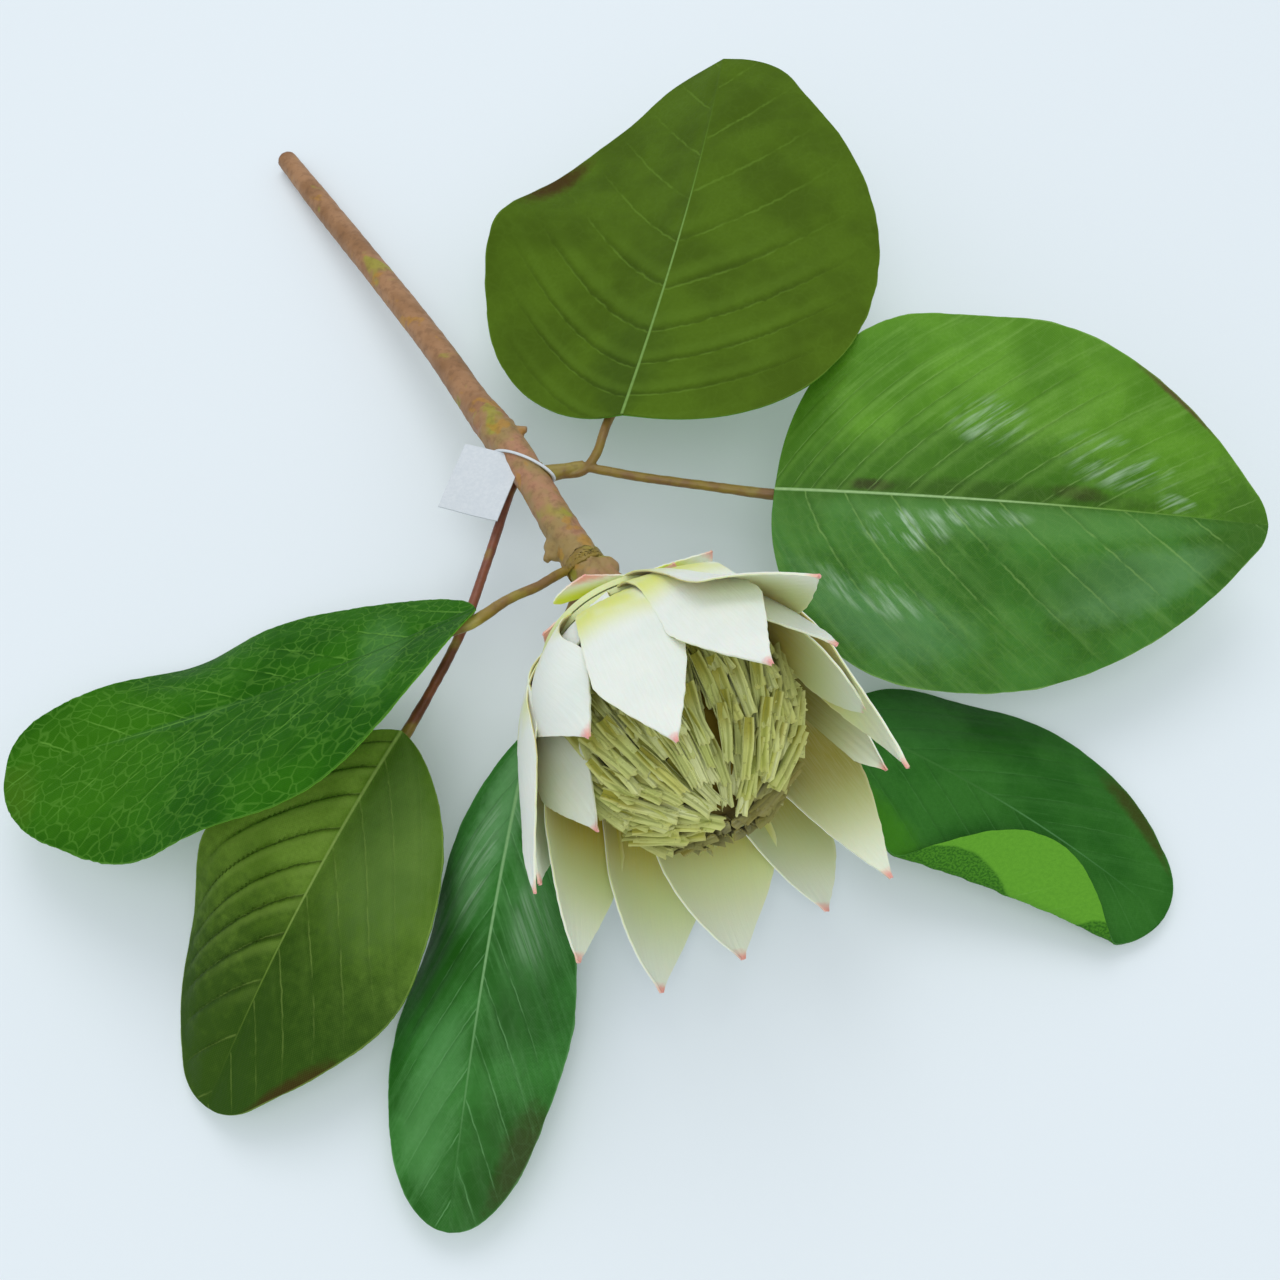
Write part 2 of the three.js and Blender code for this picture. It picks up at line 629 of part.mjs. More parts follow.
// A stalk's line from the stem to its socket, and on under the midrib of its leaf.
function stalkBody(name) {
  const leaf = LEAVES[name];
  const line = [...STALKS[name]];
  const radii = line.map(() => STALK_RADIUS);
  for (const step of [0, 0.2, 0.45, 0.7, 1]) {
    const share = blend(leaf.socket, RIB_REACH, step);
    const frame = midribFrame(leaf, share);
    const thick = step === 0 ? SOCKET_RADIUS : blend(RIB_RADIUS, RIB_TIP_RADIUS, step);
    const drop = (thick + LEAF_THICK / 2 + GAP) / Math.cos(leaf.fold * DEG) + RIB_DROP;
    line.push(frame.place.clone().addScaledVector(frame.face, -drop).toArray());
    radii.push(thick);
  }
  return solid(tube(line, radii, STALK_RINGS, STALK_SIDES));
}

function strapBody(grow) {
  const slab = new THREE.BoxGeometry(STRAP_REACH, STRAP_WIDTH + 2 * grow, STRAP_REACH);
  slab.rotateZ(STRAP_YAW * DEG);
  slab.translate(...STRAP_CENTRE);
  return stemBody(STRAP_WALL + grow).intersect(solid(slab));
}

function makeLabel(stem) {
  const flag = new THREE.BoxGeometry(...LABEL_SIZE);
  flag.rotateX(LABEL_TILT[0] * DEG);
  flag.rotateY(LABEL_TILT[1] * DEG);
  flag.rotateZ(LABEL_YAW * DEG);
  flag.translate(...LABEL_CENTRE);
  return fuse([strapBody(0), solid(flag)]).subtract(stem);
}

const COLOURS = {
  stem: "#8d6c45", fork: "#8a7430", red: "#8a4a30", ochre: "#8c7b35", bract: "#e2e8dc",
  centre: "#a9b06a", label: "#e6eaee",
};
const LEAF_COLOURS = {
  top: "#3e6619", right: "#4f8f2b", left: "#34801a", lower_left: "#4f6a28", bottom: "#22602a",
  lower_right: "#245f26",
};

const group = new THREE.Group();

function place(name, body, colour, roughness, matrix) {
  const material = new THREE.MeshStandardMaterial({ color: colour, roughness, metalness: 0 });
  const mesh = new THREE.Mesh(shell(body), material);
  mesh.name = name;
  if (matrix) matrix.decompose(mesh.position, mesh.quaternion, mesh.scale);
  group.add(mesh);
}

const fatStem = stemBody(GAP);
const label = makeLabel(fatStem);
const trunk = solid(tube(FORK_TRUNK, FORK_TRUNK_RADII, FORK_RINGS, STALK_SIDES));
const fork = fuse([trunk, stalkBody("top"), stalkBody("right")]);

place("stem", makeStem(), COLOURS.stem, 0.6);
place("label", label, COLOURS.label, 0.8);
place("stalk_fork", mainPiece(fork.subtract(fatStem).subtract(strapBody(GAP))), COLOURS.fork, 0.5);
place("stalk_left", stalkBody("left").subtract(fatStem), COLOURS.ochre, 0.5);
place("stalk_lower_left", stalkBody("lower_left").subtract(fatStem), COLOURS.red, 0.5);
place("stalk_bottom", stalkBody("bottom").subtract(fatStem), COLOURS.ochre, 0.5);
place("stalk_lower_right", stalkBody("lower_right").subtract(fatStem), COLOURS.ochre, 0.5);
for (const [name, leaf] of Object.entries(LEAVES)) {
  place(`leaf_${name}`, makeLeaf(leaf), LEAF_COLOURS[name], 0.5);
}
place("bracts_inner", makeBractLayer(0, INNER_BRACTS), COLOURS.bract, 0.7, HEAD);
place("bracts_middle", makeBractLayer(1, MIDDLE_BRACTS), COLOURS.bract, 0.7, HEAD);
place("bracts_outer", makeBractLayer(2, OUTER_BRACTS), COLOURS.bract, 0.7, HEAD);
place("flower_centre", makeCentre(), COLOURS.centre, 0.8, HEAD);

// The origin is the middle of the flower stem's extent, at table height.
group.updateMatrixWorld(true);
const extent = new THREE.Box3().setFromObject(group, true);
const middle = extent.getCenter(new THREE.Vector3());
group.position.set(-middle.x, -middle.y, -extent.min.z);

export default group;
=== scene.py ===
"""An artificial protea lying on a pale table.

Lengths are millimetres in the design frame, whose origin lies under the middle of the picture.
SHIFT moves that frame to the row's origin, and every point is turned into metres when a mesh is made.
"""
import math
import random

import bpy
import numpy as np
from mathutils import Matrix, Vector, noise


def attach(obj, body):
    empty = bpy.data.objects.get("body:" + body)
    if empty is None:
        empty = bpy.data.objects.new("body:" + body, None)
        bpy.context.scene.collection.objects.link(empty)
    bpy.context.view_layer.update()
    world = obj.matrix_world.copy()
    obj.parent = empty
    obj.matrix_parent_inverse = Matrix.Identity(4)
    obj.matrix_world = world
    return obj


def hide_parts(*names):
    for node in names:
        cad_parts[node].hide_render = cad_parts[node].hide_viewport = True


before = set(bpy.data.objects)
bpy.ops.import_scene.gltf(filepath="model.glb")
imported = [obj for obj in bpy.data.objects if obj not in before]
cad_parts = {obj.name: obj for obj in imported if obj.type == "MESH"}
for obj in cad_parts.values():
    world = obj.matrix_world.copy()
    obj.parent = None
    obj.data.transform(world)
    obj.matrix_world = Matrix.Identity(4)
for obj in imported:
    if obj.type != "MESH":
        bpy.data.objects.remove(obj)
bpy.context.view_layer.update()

SHIFT = np.array([-3.80, -34.32, -0.12])
MM = 0.001

# Camera: what it looks at, how far it stands, how steeply it looks down, and its field of view.
CAMERA_TARGET = np.array([0.0, 0.0, 30.0])
CAMERA_DISTANCE = 410.0
CAMERA_ELEVATION = math.radians(62.0)
CAMERA_FIELD = math.radians(50.0)

# Head frame: the foot of the bracts, and the way the flower looks.
HEAD_FOOT = np.array([-4.0, -6.0, 43.0])
HEAD_YAW = math.radians(-69.5)
HEAD_PITCH = math.radians(17.0)

# Bracts: angle from the flower's axis along a bract, at distances from the foot.
CUP_START = 8.0
CUP_ANGLES = ((0, 78), (10, 66), (22, 38), (38, 12), (62, 0))
CUP_END = 17.0
CUP_WALL = 1.5
CUP_SIDES = 72
PEG_RADIUS = 2.6
GAP = 0.3
LAYER_PITCH = 1.9
LAYER_SPREAD = 3.6
BRACT_THICK = 0.6
BRACT_HALF_WIDTH = 15.5
BRACT_CURVE = 1 / 34
BRACT_START = 9.0
BRACT_FOOT_WIDTH = 0.5
BRACT_STEPS = 48
BRACT_ACROSS = 24
BRACT_LIMIT = 130.0
BRACT_FINE_STEPS = 1300
# A bract's opening angle grows over a run from where it opens, and its blade starts past the cup.
FLARED_BRACT = 40.0
FLARED_OPENS = 0.0
LONG_OPENS = 22.0
OPENING_RUN = 40.0
BLADE_START = 14.0
BLADE_RUN = 26.0
# The side of the head whose bracts are darker inside: painted shade.
SHADY_TURN = math.radians(122)

# Each bract: turn round the axis, opening angle, length, share of the full width, how far its face
# leans round, place of the widest part, fullness of the point, skew of the tip, and how far its
# blade is lifted off its ring. Most rows were fitted to the outlines in the photo and rounded.
BRACT_LAYERS = {
    "bracts_inner": (
        (-13, 12.6, 99, 0.8, 1, 0.66, 1.24, 0.03, 3.4), (64, 12.7, 85, 0.62, 26, 0.7, 1.9, 0.14, 1.9),
        (121.5, 12.4, 104, 0.97, 64, 0.56, 1.5, 0.13, 0.45),
        (168, 17.6, 99.5, 1.35, 24, 0.68, 1.6, 0.64, 0.16),
        (-127.5, 18.3, 95, 1.13, -0.4, 0.64, 1.64, 0.26, -0.45),
        (-94, -3, 79, 0.76, 32, 0.68, 1.15, 0.8, 1.2),
        (-44, 8, 46, 1.2, 0, 0.6, 1.3, 0, 1.4), (2, 12, 42, 0.8, 0, 0.6, 1.3, 0, 2.4),
    ),
    "bracts_middle": (
        (16, 21.2, 99, 0.82, -24, 0.63, 1.2, -0.31, 3.6),
        (71.5, 1, 103, 0.61, 35, 0.59, 1.44, -0.69, 2.8),
        (152, 26.4, 95.5, 1.2, 60, 0.68, 1.64, 0.07, 0.17),
        (-166, 23.5, 101, 1.3, 19.6, 0.7, 1.7, 0.66, -0.3),
        (-85, 12, 96, 0.77, 9, 0.56, 1.4, 0.48, 1.1), (-64, -3, 69, 1.07, -7, 0.63, 1.3, 0.9, -0.8),
    ),
    "bracts_outer": (
        (31, 41, 86, 1.19, 10, 0.68, 1.28, -0.07, -1.7), (109, 20, 80, 0.8, 10, 0.6, 1.4, 0, 0),
        (-86.5, 9, 57.5, 0.61, 15, 0.7, 1.55, 0.79, -2.3), (168, 26, 50, 0.7, 0, 0.6, 1.3, 0, 0),
        (42.5, 20, 85, 0.77, -4, 0.6, 1.45, -0.33, -0.9), (26, 92, 17.6, 0.7, 0, 0.5, 1.25, 0.65, 0),
        (53, 96, 27, 0.64, -3, 0.5, 1.25, 0.37, 0), (8, 94, 17, 1.1, 0, 0.58, 1.2, -0.7, 0),
        (-58, 60, 17, 0.9, 0, 0.5, 1.1, -0.2, 0),
        (-105.2, 11.1, 79.5, 1.03, 8.1, 0.68, 1.53, 0.15, -2),
    ),
}

# Flower centre: outline of the dome (radius, height on the axis) from the foot to the top, how far
# its top leans to one side, and the tiers of strips (distance of the tips from the pole).
DOME_PROFILE = ((9, 1.8), (17, 6.8), (23, 19), (26.5, 32), (26.5, 45), (21.5, 57.5), (12, 66), (0, 69))
DOME_LEAN = 2.4
STRIP_TIERS = (0.6, 5, 13, 23, 35, 48)
STRIP_SPACING = 3.6
STRIP_WIDTH = 3.4
STRIP_LENGTH = 17.0
STRIP_WALL = 0.5
STRIP_DEPTH = 1.8
STRIP_FLAT = 0.4
# Each tier has a second row of strips, further back and deeper.
ROW_BACK = 5.5
ROW_DROP = 1.5
# The side of the dome whose upper strips are darker: painted shade in the core's colour.
DARK_ANGLE = math.radians(160)
# The core under the strips lies a little inside the dome.
CORE_INSET = 1.2
CORE_DROP = 1.0
CORE_RINGS = 40
CORE_SIDES = 64
# Loose yellow strips beside the dome: count, first and last angle, and the range of their tips.
LOOSE_COUNT = 26
LOOSE_FIRST = math.radians(25)
LOOSE_LAST = math.radians(245)
LOOSE_RADIUS = (29.5, 32.5)
LOOSE_HEIGHT = (38, 50)
LOOSE_LENGTH = (14, 19)
LOOSE_WIDTH = (2.2, 3.6)

# Leaves, as in the solids: foot of the midrib, yaw, pitch and roll from foot to tip, length, half
# widths, fullness of the outline, fold and curl, a dip (depth, place) in each half, where the
# rounded tip starts and how round it is, and how ragged the margin is. The values as far as the
# dips were fitted to the outlines in the photo and rounded.
LEAF_THICK = 0.6
LEAF_END = 0.008
DIP_REACH = 0.16
FLAP_BEND = 1.9
FLAP_TURN = math.radians(172)
FLAP_LEAST = 1.2
FLAP_GAIN = 1.9
LEAVES = {
    "top": dict(
        foot=(-5.5, 67.2, 51.3), yaw=(74, 80.8), pitch=(1.6, -2.2), roll=(-23, -24.2),
        length=165, widths=(66.8, 66.8), rise=0.45, fall=0.68, fold=-13.9, curl=(38, -14.5),
        dips=((-11.4, 0.48), (1.3, 0.58)), socket=0.14, tip=(0.83, 0.44), fray=0.12),
    "right": dict(
        foot=(41.9, 49.2, 37.1), yaw=(-10, 1.6), pitch=(10.8, -13.3), roll=(0.5, 20.9),
        length=154, widths=(63.5, 62), rise=0.44, fall=0.81, fold=6.4, curl=(12, -28),
        dips=((8.8, 0.37), (-3.9, 0.38)), socket=0.02, tip=(0.93, 0.6), fray=0.12),
    "left": dict(
        foot=(-46.9, -0.7, 49.9), yaw=(-160.6, -170.6), pitch=(-16.4, -9.1), roll=(43, 7.4),
        length=148, widths=(54.5, 34), rise=0.63, fall=0.67, fold=9.9, curl=(-30, -13),
        dips=((-9.3, 0.54), (10, 0.67)), socket=0.02, tip=(0.8, 0.5), fray=0.4),
    "lower_left": dict(
        foot=(-69.2, -28.8, 27.4), yaw=(-117.7, -112.9), pitch=(-1.8, -21), roll=(5.6, 23.4),
        length=114.5, widths=(40, 38), rise=0.71, fall=0.68, fold=5.7, curl=(-15, -32),
        dips=((7.2, 0.65), (-13, 0.41)), socket=0.02, tip=(0.88, 0.5), fray=0.12),
    "bottom": dict(
        foot=(-32, -25, 20.6), yaw=(-99.6, -94.9), pitch=(2.2, -13), roll=(18, 5.6),
        length=138.4, widths=(24.4, 24.8), rise=0.74, fall=0.5, fold=2, curl=(-11.5, -20.8),
        dips=((9.5, 0.6), (10.7, 0.46)), socket=0.04, tip=(0.8, 0.5), fray=0.12),
    "lower_right": dict(
        foot=(58.1, -20.6, 19), yaw=(-23.5, -39), pitch=(-3.1, -12.8), roll=(-15.5, 2.6),
        length=110.6, widths=(36.4, 37.5), rise=0.58, fall=0.64, fold=0.8, curl=(-22.4, -9),
        dips=((5.8, 0.28), (0, 0.5)), socket=0.02, tip=(0.85, 0.5), fray=0.12,
        flap=(0.26, 0.955)),
}
LEAF_STEPS = 130
LEAF_ACROSS = 44

# Lateral veins of each half of a leaf: where they leave the midrib (share of the length), how far
# they run forward for each step out, at the foot and at the tip, and how much they bend forward.
# Then the height of the crowns between the veins in each half, and how far each leans to one side.
VEINS = {
    "top": dict(
        left=((0.04, 0.11, 0.2, 0.32, 0.44, 0.56, 0.69, 0.83), 0.3, 1.4, 0.55),
        right=((0.045, 0.12, 0.2, 0.31, 0.44, 0.58, 0.74), 0.1, 1.1, 0.5),
        crown=(0.7, 0.9), lean=0.6),
    "right": dict(
        left=((0.03, 0.07, 0.12, 0.18, 0.25, 0.33, 0.42, 0.52, 0.63, 0.75, 0.87), 0.45, 2.2, 0.5),
        right=((0.06, 0.14, 0.23, 0.33, 0.44, 0.56, 0.69, 0.83), 0.25, 1.6, 0.45),
        crown=(0.6, 0.5), lean=0.8),
    "left": dict(
        left=((0.1, 0.22, 0.33, 0.44, 0.56, 0.68, 0.8, 0.92), 0.9, 1.3, 0.3),
        right=((0.14, 0.26, 0.37, 0.49, 0.61, 0.73, 0.86), 1.0, 1.6, 0.3),
        crown=(0.3, 0.3), lean=1.0),
    "lower_left": dict(
        left=((0.08, 0.2, 0.33, 0.46, 0.6, 0.73, 0.86), 1.0, 1.3, 0.5),
        right=((0.03, 0.105, 0.184, 0.28, 0.37, 0.46, 0.56, 0.68, 0.82), 0.4, 0.9, 0.6),
        crown=(0.35, 1.7), lean=0.35),
    "bottom": dict(
        left=((0.06, 0.14, 0.23, 0.33, 0.43, 0.53, 0.64, 0.76, 0.88), 1.5, 1.9, 0.4),
        right=((0.1, 0.19, 0.28, 0.38, 0.48, 0.59, 0.7, 0.82), 1.5, 1.9, 0.4),
        crown=(0.7, 0.7), lean=0.8),
    "lower_right": dict(
        left=((0.08, 0.2, 0.32, 0.45, 0.58, 0.71, 0.85), 1.4, 2.0, 0.3),
        right=((0.12, 0.25, 0.38, 0.52, 0.66, 0.8), 1.2, 1.8, 0.3),
        crown=(0.3, 0.2), lean=0.9),
}

# Looks of each leaf, with 0 to 255 screen colours: the two main tones, the tones of the right half
# where they differ, veins, midrib from foot to tip and its width, strength of net, veins, painted
# sheen streaks and painted pleat shading in the left and right half (and how far along the leaf the
# pleat shading shows, and how dark the painted shade in its valleys is), roughness, gloss, tinted
# zones (place and size along and across, share, tint), of which some are the leaf's own patches and
# others painted sheen and painted shade, and glints, which are zones of painted highlight streaks.
LEAF_LOOKS = {
    "top": dict(
        tones=((66, 90, 14), (78, 106, 20)), vein=(112, 146, 54), ribs=((124, 160, 84), (100, 138, 50)),
        rib_width=0.65, net=0.05, veins=0.35, sheen_streaks=0.06, pleat_shading=(0.7, 0.7), pleat_end=0.6,
        valley_shade=0.5, rough=0.6, gloss=0.05,
        zones=((0.66, 0.97, 0.1, 0.13, 0.85, (66, 30, 14)), (0.1, 0.1, 0.2, 0.3, 0.4, (56, 80, 20)))),
    "right": dict(
        tones=((74, 126, 18), (96, 150, 36)), second=((42, 94, 18), (62, 120, 42)),
        vein=(150, 190, 104), ribs=((158, 194, 132), (134, 178, 84)), rib_width=1.0, net=0.04, veins=0.3,
        sheen_streaks=0.5, pleat_shading=(0.4, 0.3), pleat_end=0.9, valley_shade=0.6, rough=0.42, gloss=0.14,
        zones=((0.4, 0.1, 0.5, 0.3, 0.75, (50, 98, 12)), (0.42, 0.04, 0.45, 0.07, 0.7, (46, 80, 10)),
               (0.79, 1.0, 0.09, 0.06, 0.8, (84, 44, 36)), (0.19, 0.05, 0.05, 0.04, 0.7, (50, 44, 20)),
               (0.6, 0.08, 0.06, 0.05, 0.6, (52, 50, 18)), (0.5, -0.12, 0.5, 0.12, 0.5, (92, 146, 74)),
               (0.73, -0.52, 0.22, 0.26, 0.6, (98, 146, 92)), (0.22, -0.72, 0.2, 0.2, 0.5, (88, 140, 88)),
               (0.5, -0.45, 0.3, 0.16, 0.5, (40, 92, 14)), (0.99, 0.0, 0.14, 1.4, 0.8, (54, 98, 18)),
               (0.02, 0.3, 0.12, 0.9, 0.6, (54, 100, 14))),
        glints=((0.26, -0.2, 0.1, 0.14, 0.75), (0.4, -0.1, 0.12, 0.07, 0.6), (0.42, 0.42, 0.1, 0.16, 0.5),
                (0.68, 0.3, 0.14, 0.2, 0.5), (0.8, 0.1, 0.05, 0.1, 0.5), (0.2, -0.6, 0.14, 0.12, 0.4))),
    "left": dict(
        tones=((26, 82, 2), (42, 102, 8)), vein=(104, 158, 60), ribs=((46, 92, 30), (110, 165, 70)),
        rib_width=1.0, net=0.28, veins=0.6, sheen_streaks=0.1, pleat_shading=(0.2, 0.2), pleat_end=1.0, valley_shade=0.75,
        rough=0.6, gloss=0.04,
        zones=((0.97, 0.5, 0.06, 0.6, 0.4, (80, 100, 22)), (0.85, 0.0, 0.25, 1.2, 0.5, (62, 122, 16)),
               (0.6, 0.0, 0.2, 0.05, 0.5, (52, 96, 48)), (0.2, 0.0, 0.06, 0.7, 0.35, (96, 150, 84)),
               (0.42, 0.3, 0.16, 0.5, 0.5, (36, 92, 8)))),
    "lower_left": dict(
        tones=((72, 106, 28), (94, 128, 44)), second=((90, 124, 32), (116, 150, 52)),
        vein=(150, 176, 88), ribs=((150, 178, 92), (120, 150, 60)), rib_width=1.0, net=0.0, veins=0.25,
        sheen_streaks=0.15, pleat_shading=(0.15, 0.95), pleat_end=0.85, valley_shade=0.7, rough=0.52, gloss=0.06,
        zones=((0.95, 0.0, 0.52, 3.0, 0.92, (36, 68, 8)), (0.25, 0.5, 0.3, 0.5, 0.45, (98, 130, 66)),
               (0.86, 0.98, 0.1, 0.16, 0.75, (62, 34, 14)))),
    "bottom": dict(
        tones=((34, 92, 22), (58, 124, 50)), vein=(112, 168, 106),
        ribs=((140, 186, 126), (120, 170, 110)), rib_width=1.0, net=0.04, veins=0.5, sheen_streaks=0.7,
        pleat_shading=(0.25, 0.25), pleat_end=1.0, valley_shade=0.75, rough=0.38, gloss=0.12,
        zones=((0.12, -0.2, 0.2, 0.6, 0.65, (110, 166, 108)), (0.86, 0.85, 0.11, 0.3, 0.85, (54, 42, 10)),
               (0.3, -0.45, 0.15, 0.35, 0.55, (106, 160, 102)), (0.68, -0.35, 0.1, 0.3, 0.4, (88, 146, 84)),
               (0.52, -0.5, 0.12, 0.4, 0.6, (34, 90, 20)), (0.6, 0.5, 0.1, 0.5, 0.5, (28, 76, 16)),
               (0.9, 0.6, 0.2, 0.7, 0.45, (28, 70, 10)), (0.4, -1.0, 0.2, 0.16, 0.5, (22, 62, 16)),
               (0.4, 0.55, 0.14, 0.45, 0.3, (92, 146, 88)), (0.82, -0.5, 0.14, 0.4, 0.45, (86, 146, 80))),
        glints=((0.3, -0.4, 0.16, 0.3, 0.45), (0.15, 0.3, 0.1, 0.4, 0.4), (0.42, 0.5, 0.1, 0.3, 0.25))),
    "lower_right": dict(
        tones=((32, 88, 22), (50, 108, 36)), vein=(84, 140, 74), ribs=((58, 110, 46), (98, 152, 96)),
        rib_width=0.8, net=0.04, veins=0.25, sheen_streaks=0.3, pleat_shading=(0.2, 0.2), pleat_end=1.0, valley_shade=0.75,
        rough=0.52, gloss=0.06,
        zones=((0.82, 0.9, 0.14, 0.16, 0.7, (60, 46, 12)), (0.2, -0.9, 0.28, 0.3, 0.7, (64, 128, 20)),
               (0.16, 0.4, 0.2, 0.5, 0.5, (66, 124, 58)))),
}
# Spacing of the threads in the cloth of a leaf.
LEAF_THREAD = 0.75
LEAF_UNDERSIDE = (98, 160, 46)
UNDERSIDE_DEEP = (78, 138, 38)
UNDERSIDE_VEIN = (126, 184, 84)
SPECKLED = (70, 128, 34)
SPECKLE = (48, 102, 26)
# Colour of the painted glints, highlights on the leaves.
GLINT = (186, 212, 186)

# Stalks: wire covered in plastic, from the stem to a socket and on under the midrib.
STALK_RADIUS = 1.5
SOCKET_RADIUS = 1.9
RIB_RADIUS = 1.1
RIB_TIP_RADIUS = 0.7
RIB_REACH = 0.6
RIB_DROP = 0.5
SOLID_LEAF_THICK = 0.7
STALK_RINGS = 120
STALK_SIDES = 16
FORK_RINGS = 16
FORK_SIDES = 20
FORK_TRUNK = ((-32, 56, 35), (-25, 57.5, 35), (-17.5, 59.3, 36))
FORK_TRUNK_RADII = (3.2, 2.5, 1.6)
STALKS = {
    "top": ((-25, 56.6, 34.6), (-18, 57.4, 35.4), (-13.6, 61.6, 39.2), (-11.4, 66.8, 42.8),
            (-9.5, 72, 43.6)),
    "right": ((-19, 58.9, 36), (0, 54.4, 36.5), (20, 51.5, 36)),
    "left": ((-13, 22, 39), (-22.8, 17.1, 41), (-30, 9.7, 45), (-38, 4, 47.5)),
    "lower_left": ((-37, 62, 32), (-41, 54, 29.5), (-46, 33, 29), (-53, 6, 28.5), (-62, -15, 26)),
    "bottom": ((-12, 20, 40), (-19, 14, 32), (-26, -3, 23), (-30, -17, 19.2)),
    "lower_right": ((-12, 20, 40), (-2, 18, 31), (20, 10, 25), (42, -8, 21.5)),
}

# Stem: centre line from the cut end to the head, and the radius at each point.
STEM_LINE = (
    (-139, 228, 3.9), (-123, 203, 7), (-86, 145, 16), (-69, 117, 21), (-55.6, 92.6, 26),
    (-46.5, 77, 30), (-34.3, 55, 35), (-25, 36.3, 37.5), (-16, 19.5, 39.5), (-6.3, 0.5, 41.2),
)
STEM_RADII = (3.8, 4.4, 4.8, 4.9, 5.2, 6.2, 5.2, 5.5, 6, 5.2)
STEM_BUMPS = (
    ((-46.5, 77, 33), (3.2, 4.2, 3.2), -60), ((-26, 27, 37.5), (3, 4.2, 2.6), -150),
    ((-10, 18.5, 41.5), (4.2, 3.4, 3.2), -20), ((-50, 79, 31), (2.6, 3.4, 2.4), -60),
)
STEM_STUBS = (
    ((-41, 74.5, 32.5), (-36.2, 74.6, 34), 2.4), ((-26, 29, 37.5), (-28.6, 22.4, 38), 2.4),
    ((-9.5, 17, 42), (-5.6, 13.4, 43.8), 2.4),
)
# Where along the stem, as a share of its length, the two nodes are, and how far each reaches.
STEM_KNOTS = ((0.67, 0.04), (0.92, 0.06))
STEM_RINGS = 140
STEM_SIDES = 32
STUB_TIP = 1.1
FLANGE_RADIUS = 7.6
FLANGE_FOOT = 4.6
FLANGE_HEIGHT = 5.0
FLANGE_SIDES = 36
PEG_ROOT = 2.0
PEG_REACH = 16.0
PEG_SIDES = 24

# Fused plastic: size of the voxels, how far the skin is evened out, and depth of the pits in it.
STEM_VOXEL = 0.55
STALK_VOXEL = 0.3
RELAX_SHARE = 0.5
RELAX_TIMES = 3
STEM_PITS = (0.3, 0.45)
STALK_PITS = 0.12

# Label: a paper flag held by a narrow strap round the stem.
LABEL_CENTRE = (-49.8, 53.2, 35.4)
LABEL_SIZE = (20.0, 23.5)
LABEL_THICK = 0.5
LABEL_YAW = math.radians(-19)
LABEL_TILT = (math.radians(7), math.radians(-5))
STRAP_CENTRE = np.array([-36.5, 59.8, 33.0])
STRAP_YAW = math.radians(-30)
STRAP_WIDTH = 0.8
STRAP_OUT = (0.45, 0.85)
STRAP_SIDES = 72

# Table and light: table size, its own light, sky strength, and each lamp's place, size, watts, colour.
TABLE_HALF = 6.0
TABLE_GLOW = 0.14
SKY_STRENGTH = 0.68
LAMPS = {
    "front window": ((-0.1, -0.85, 1.75), 1.3, 8.5, (1.0, 1.0, 1.0)),
    "back window": ((-0.1, 1.0, 1.6), 1.2, 7.5, (1.0, 0.985, 0.96)),
}


def linear(colour):
    """A 0 to 255 screen colour as a linear one with alpha."""
    parts = [c / 255 for c in colour]
    return tuple(c / 12.92 if c <= 0.04045 else ((c + 0.055) / 1.055) ** 2.4 for c in parts) + (1.0,)


def smooth(t):
    t = np.clip(t, 0.0, 1.0)
    return t * t * (3 - 2 * t)


def blend(a, b, t):
    return a + (b - a) * t


def look_up(table, x):
    marks = np.array(table, float)
    return np.interp(x, marks[:, 0], marks[:, 1])


def unit(v):
    v = np.asarray(v, float)
    return v / np.linalg.norm(v, axis=-1, keepdims=True)


def curve_through(points, count):
    """Points evenly spread on a smooth curve through the given ones, with how far along each lies."""
    p = np.array(points, float)
    first = 2 * p[0] - p[1]
    last = 2 * p[-1] - p[-2]
    p = np.vstack([first, p, last])
    knots = np.concatenate([[0], np.cumsum(np.sqrt(np.linalg.norm(np.diff(p, axis=0), axis=1)))])
    spots = []
    marks = []
    for i in range(1, len(p) - 2):
        t0, t1, t2, t3 = knots[i - 1:i + 3]
        for t in np.linspace(t1, t2, 24, endpoint=i == len(p) - 3):
            a1 = (t1 - t) / (t1 - t0) * p[i - 1] + (t - t0) / (t1 - t0) * p[i]
            a2 = (t2 - t) / (t2 - t1) * p[i] + (t - t1) / (t2 - t1) * p[i + 1]
            a3 = (t3 - t) / (t3 - t2) * p[i + 1] + (t - t2) / (t3 - t2) * p[i + 2]
            b1 = (t2 - t) / (t2 - t0) * a1 + (t - t0) / (t2 - t0) * a2
            b2 = (t3 - t) / (t3 - t1) * a2 + (t - t1) / (t3 - t1) * a3
            spots.append((t2 - t) / (t2 - t1) * b1 + (t - t1) / (t2 - t1) * b2)
            marks.append(i - 1 + (t - t1) / (t2 - t1))
    spots = np.array(spots)
    run = np.concatenate([[0], np.cumsum(np.linalg.norm(np.diff(spots, axis=0), axis=1))])
    even = np.linspace(0, run[-1], count)
    line = np.stack([np.interp(even, run, spots[:, k]) for k in range(3)], axis=1)
    return line, np.interp(even, run, marks), even


def frames_along(line):
    """A side and an over direction at each point of a line, turning as little as possible."""
    ways = unit(np.gradient(line, axis=0))
    side = unit(np.cross(ways[0], (0.0, 0.0, 1.0)))
    sides = []
    for way in ways:
        side = unit(side - way * side.dot(way))
        sides.append(side)
    sides = np.array(sides)
    return ways, sides, np.cross(sides, ways)


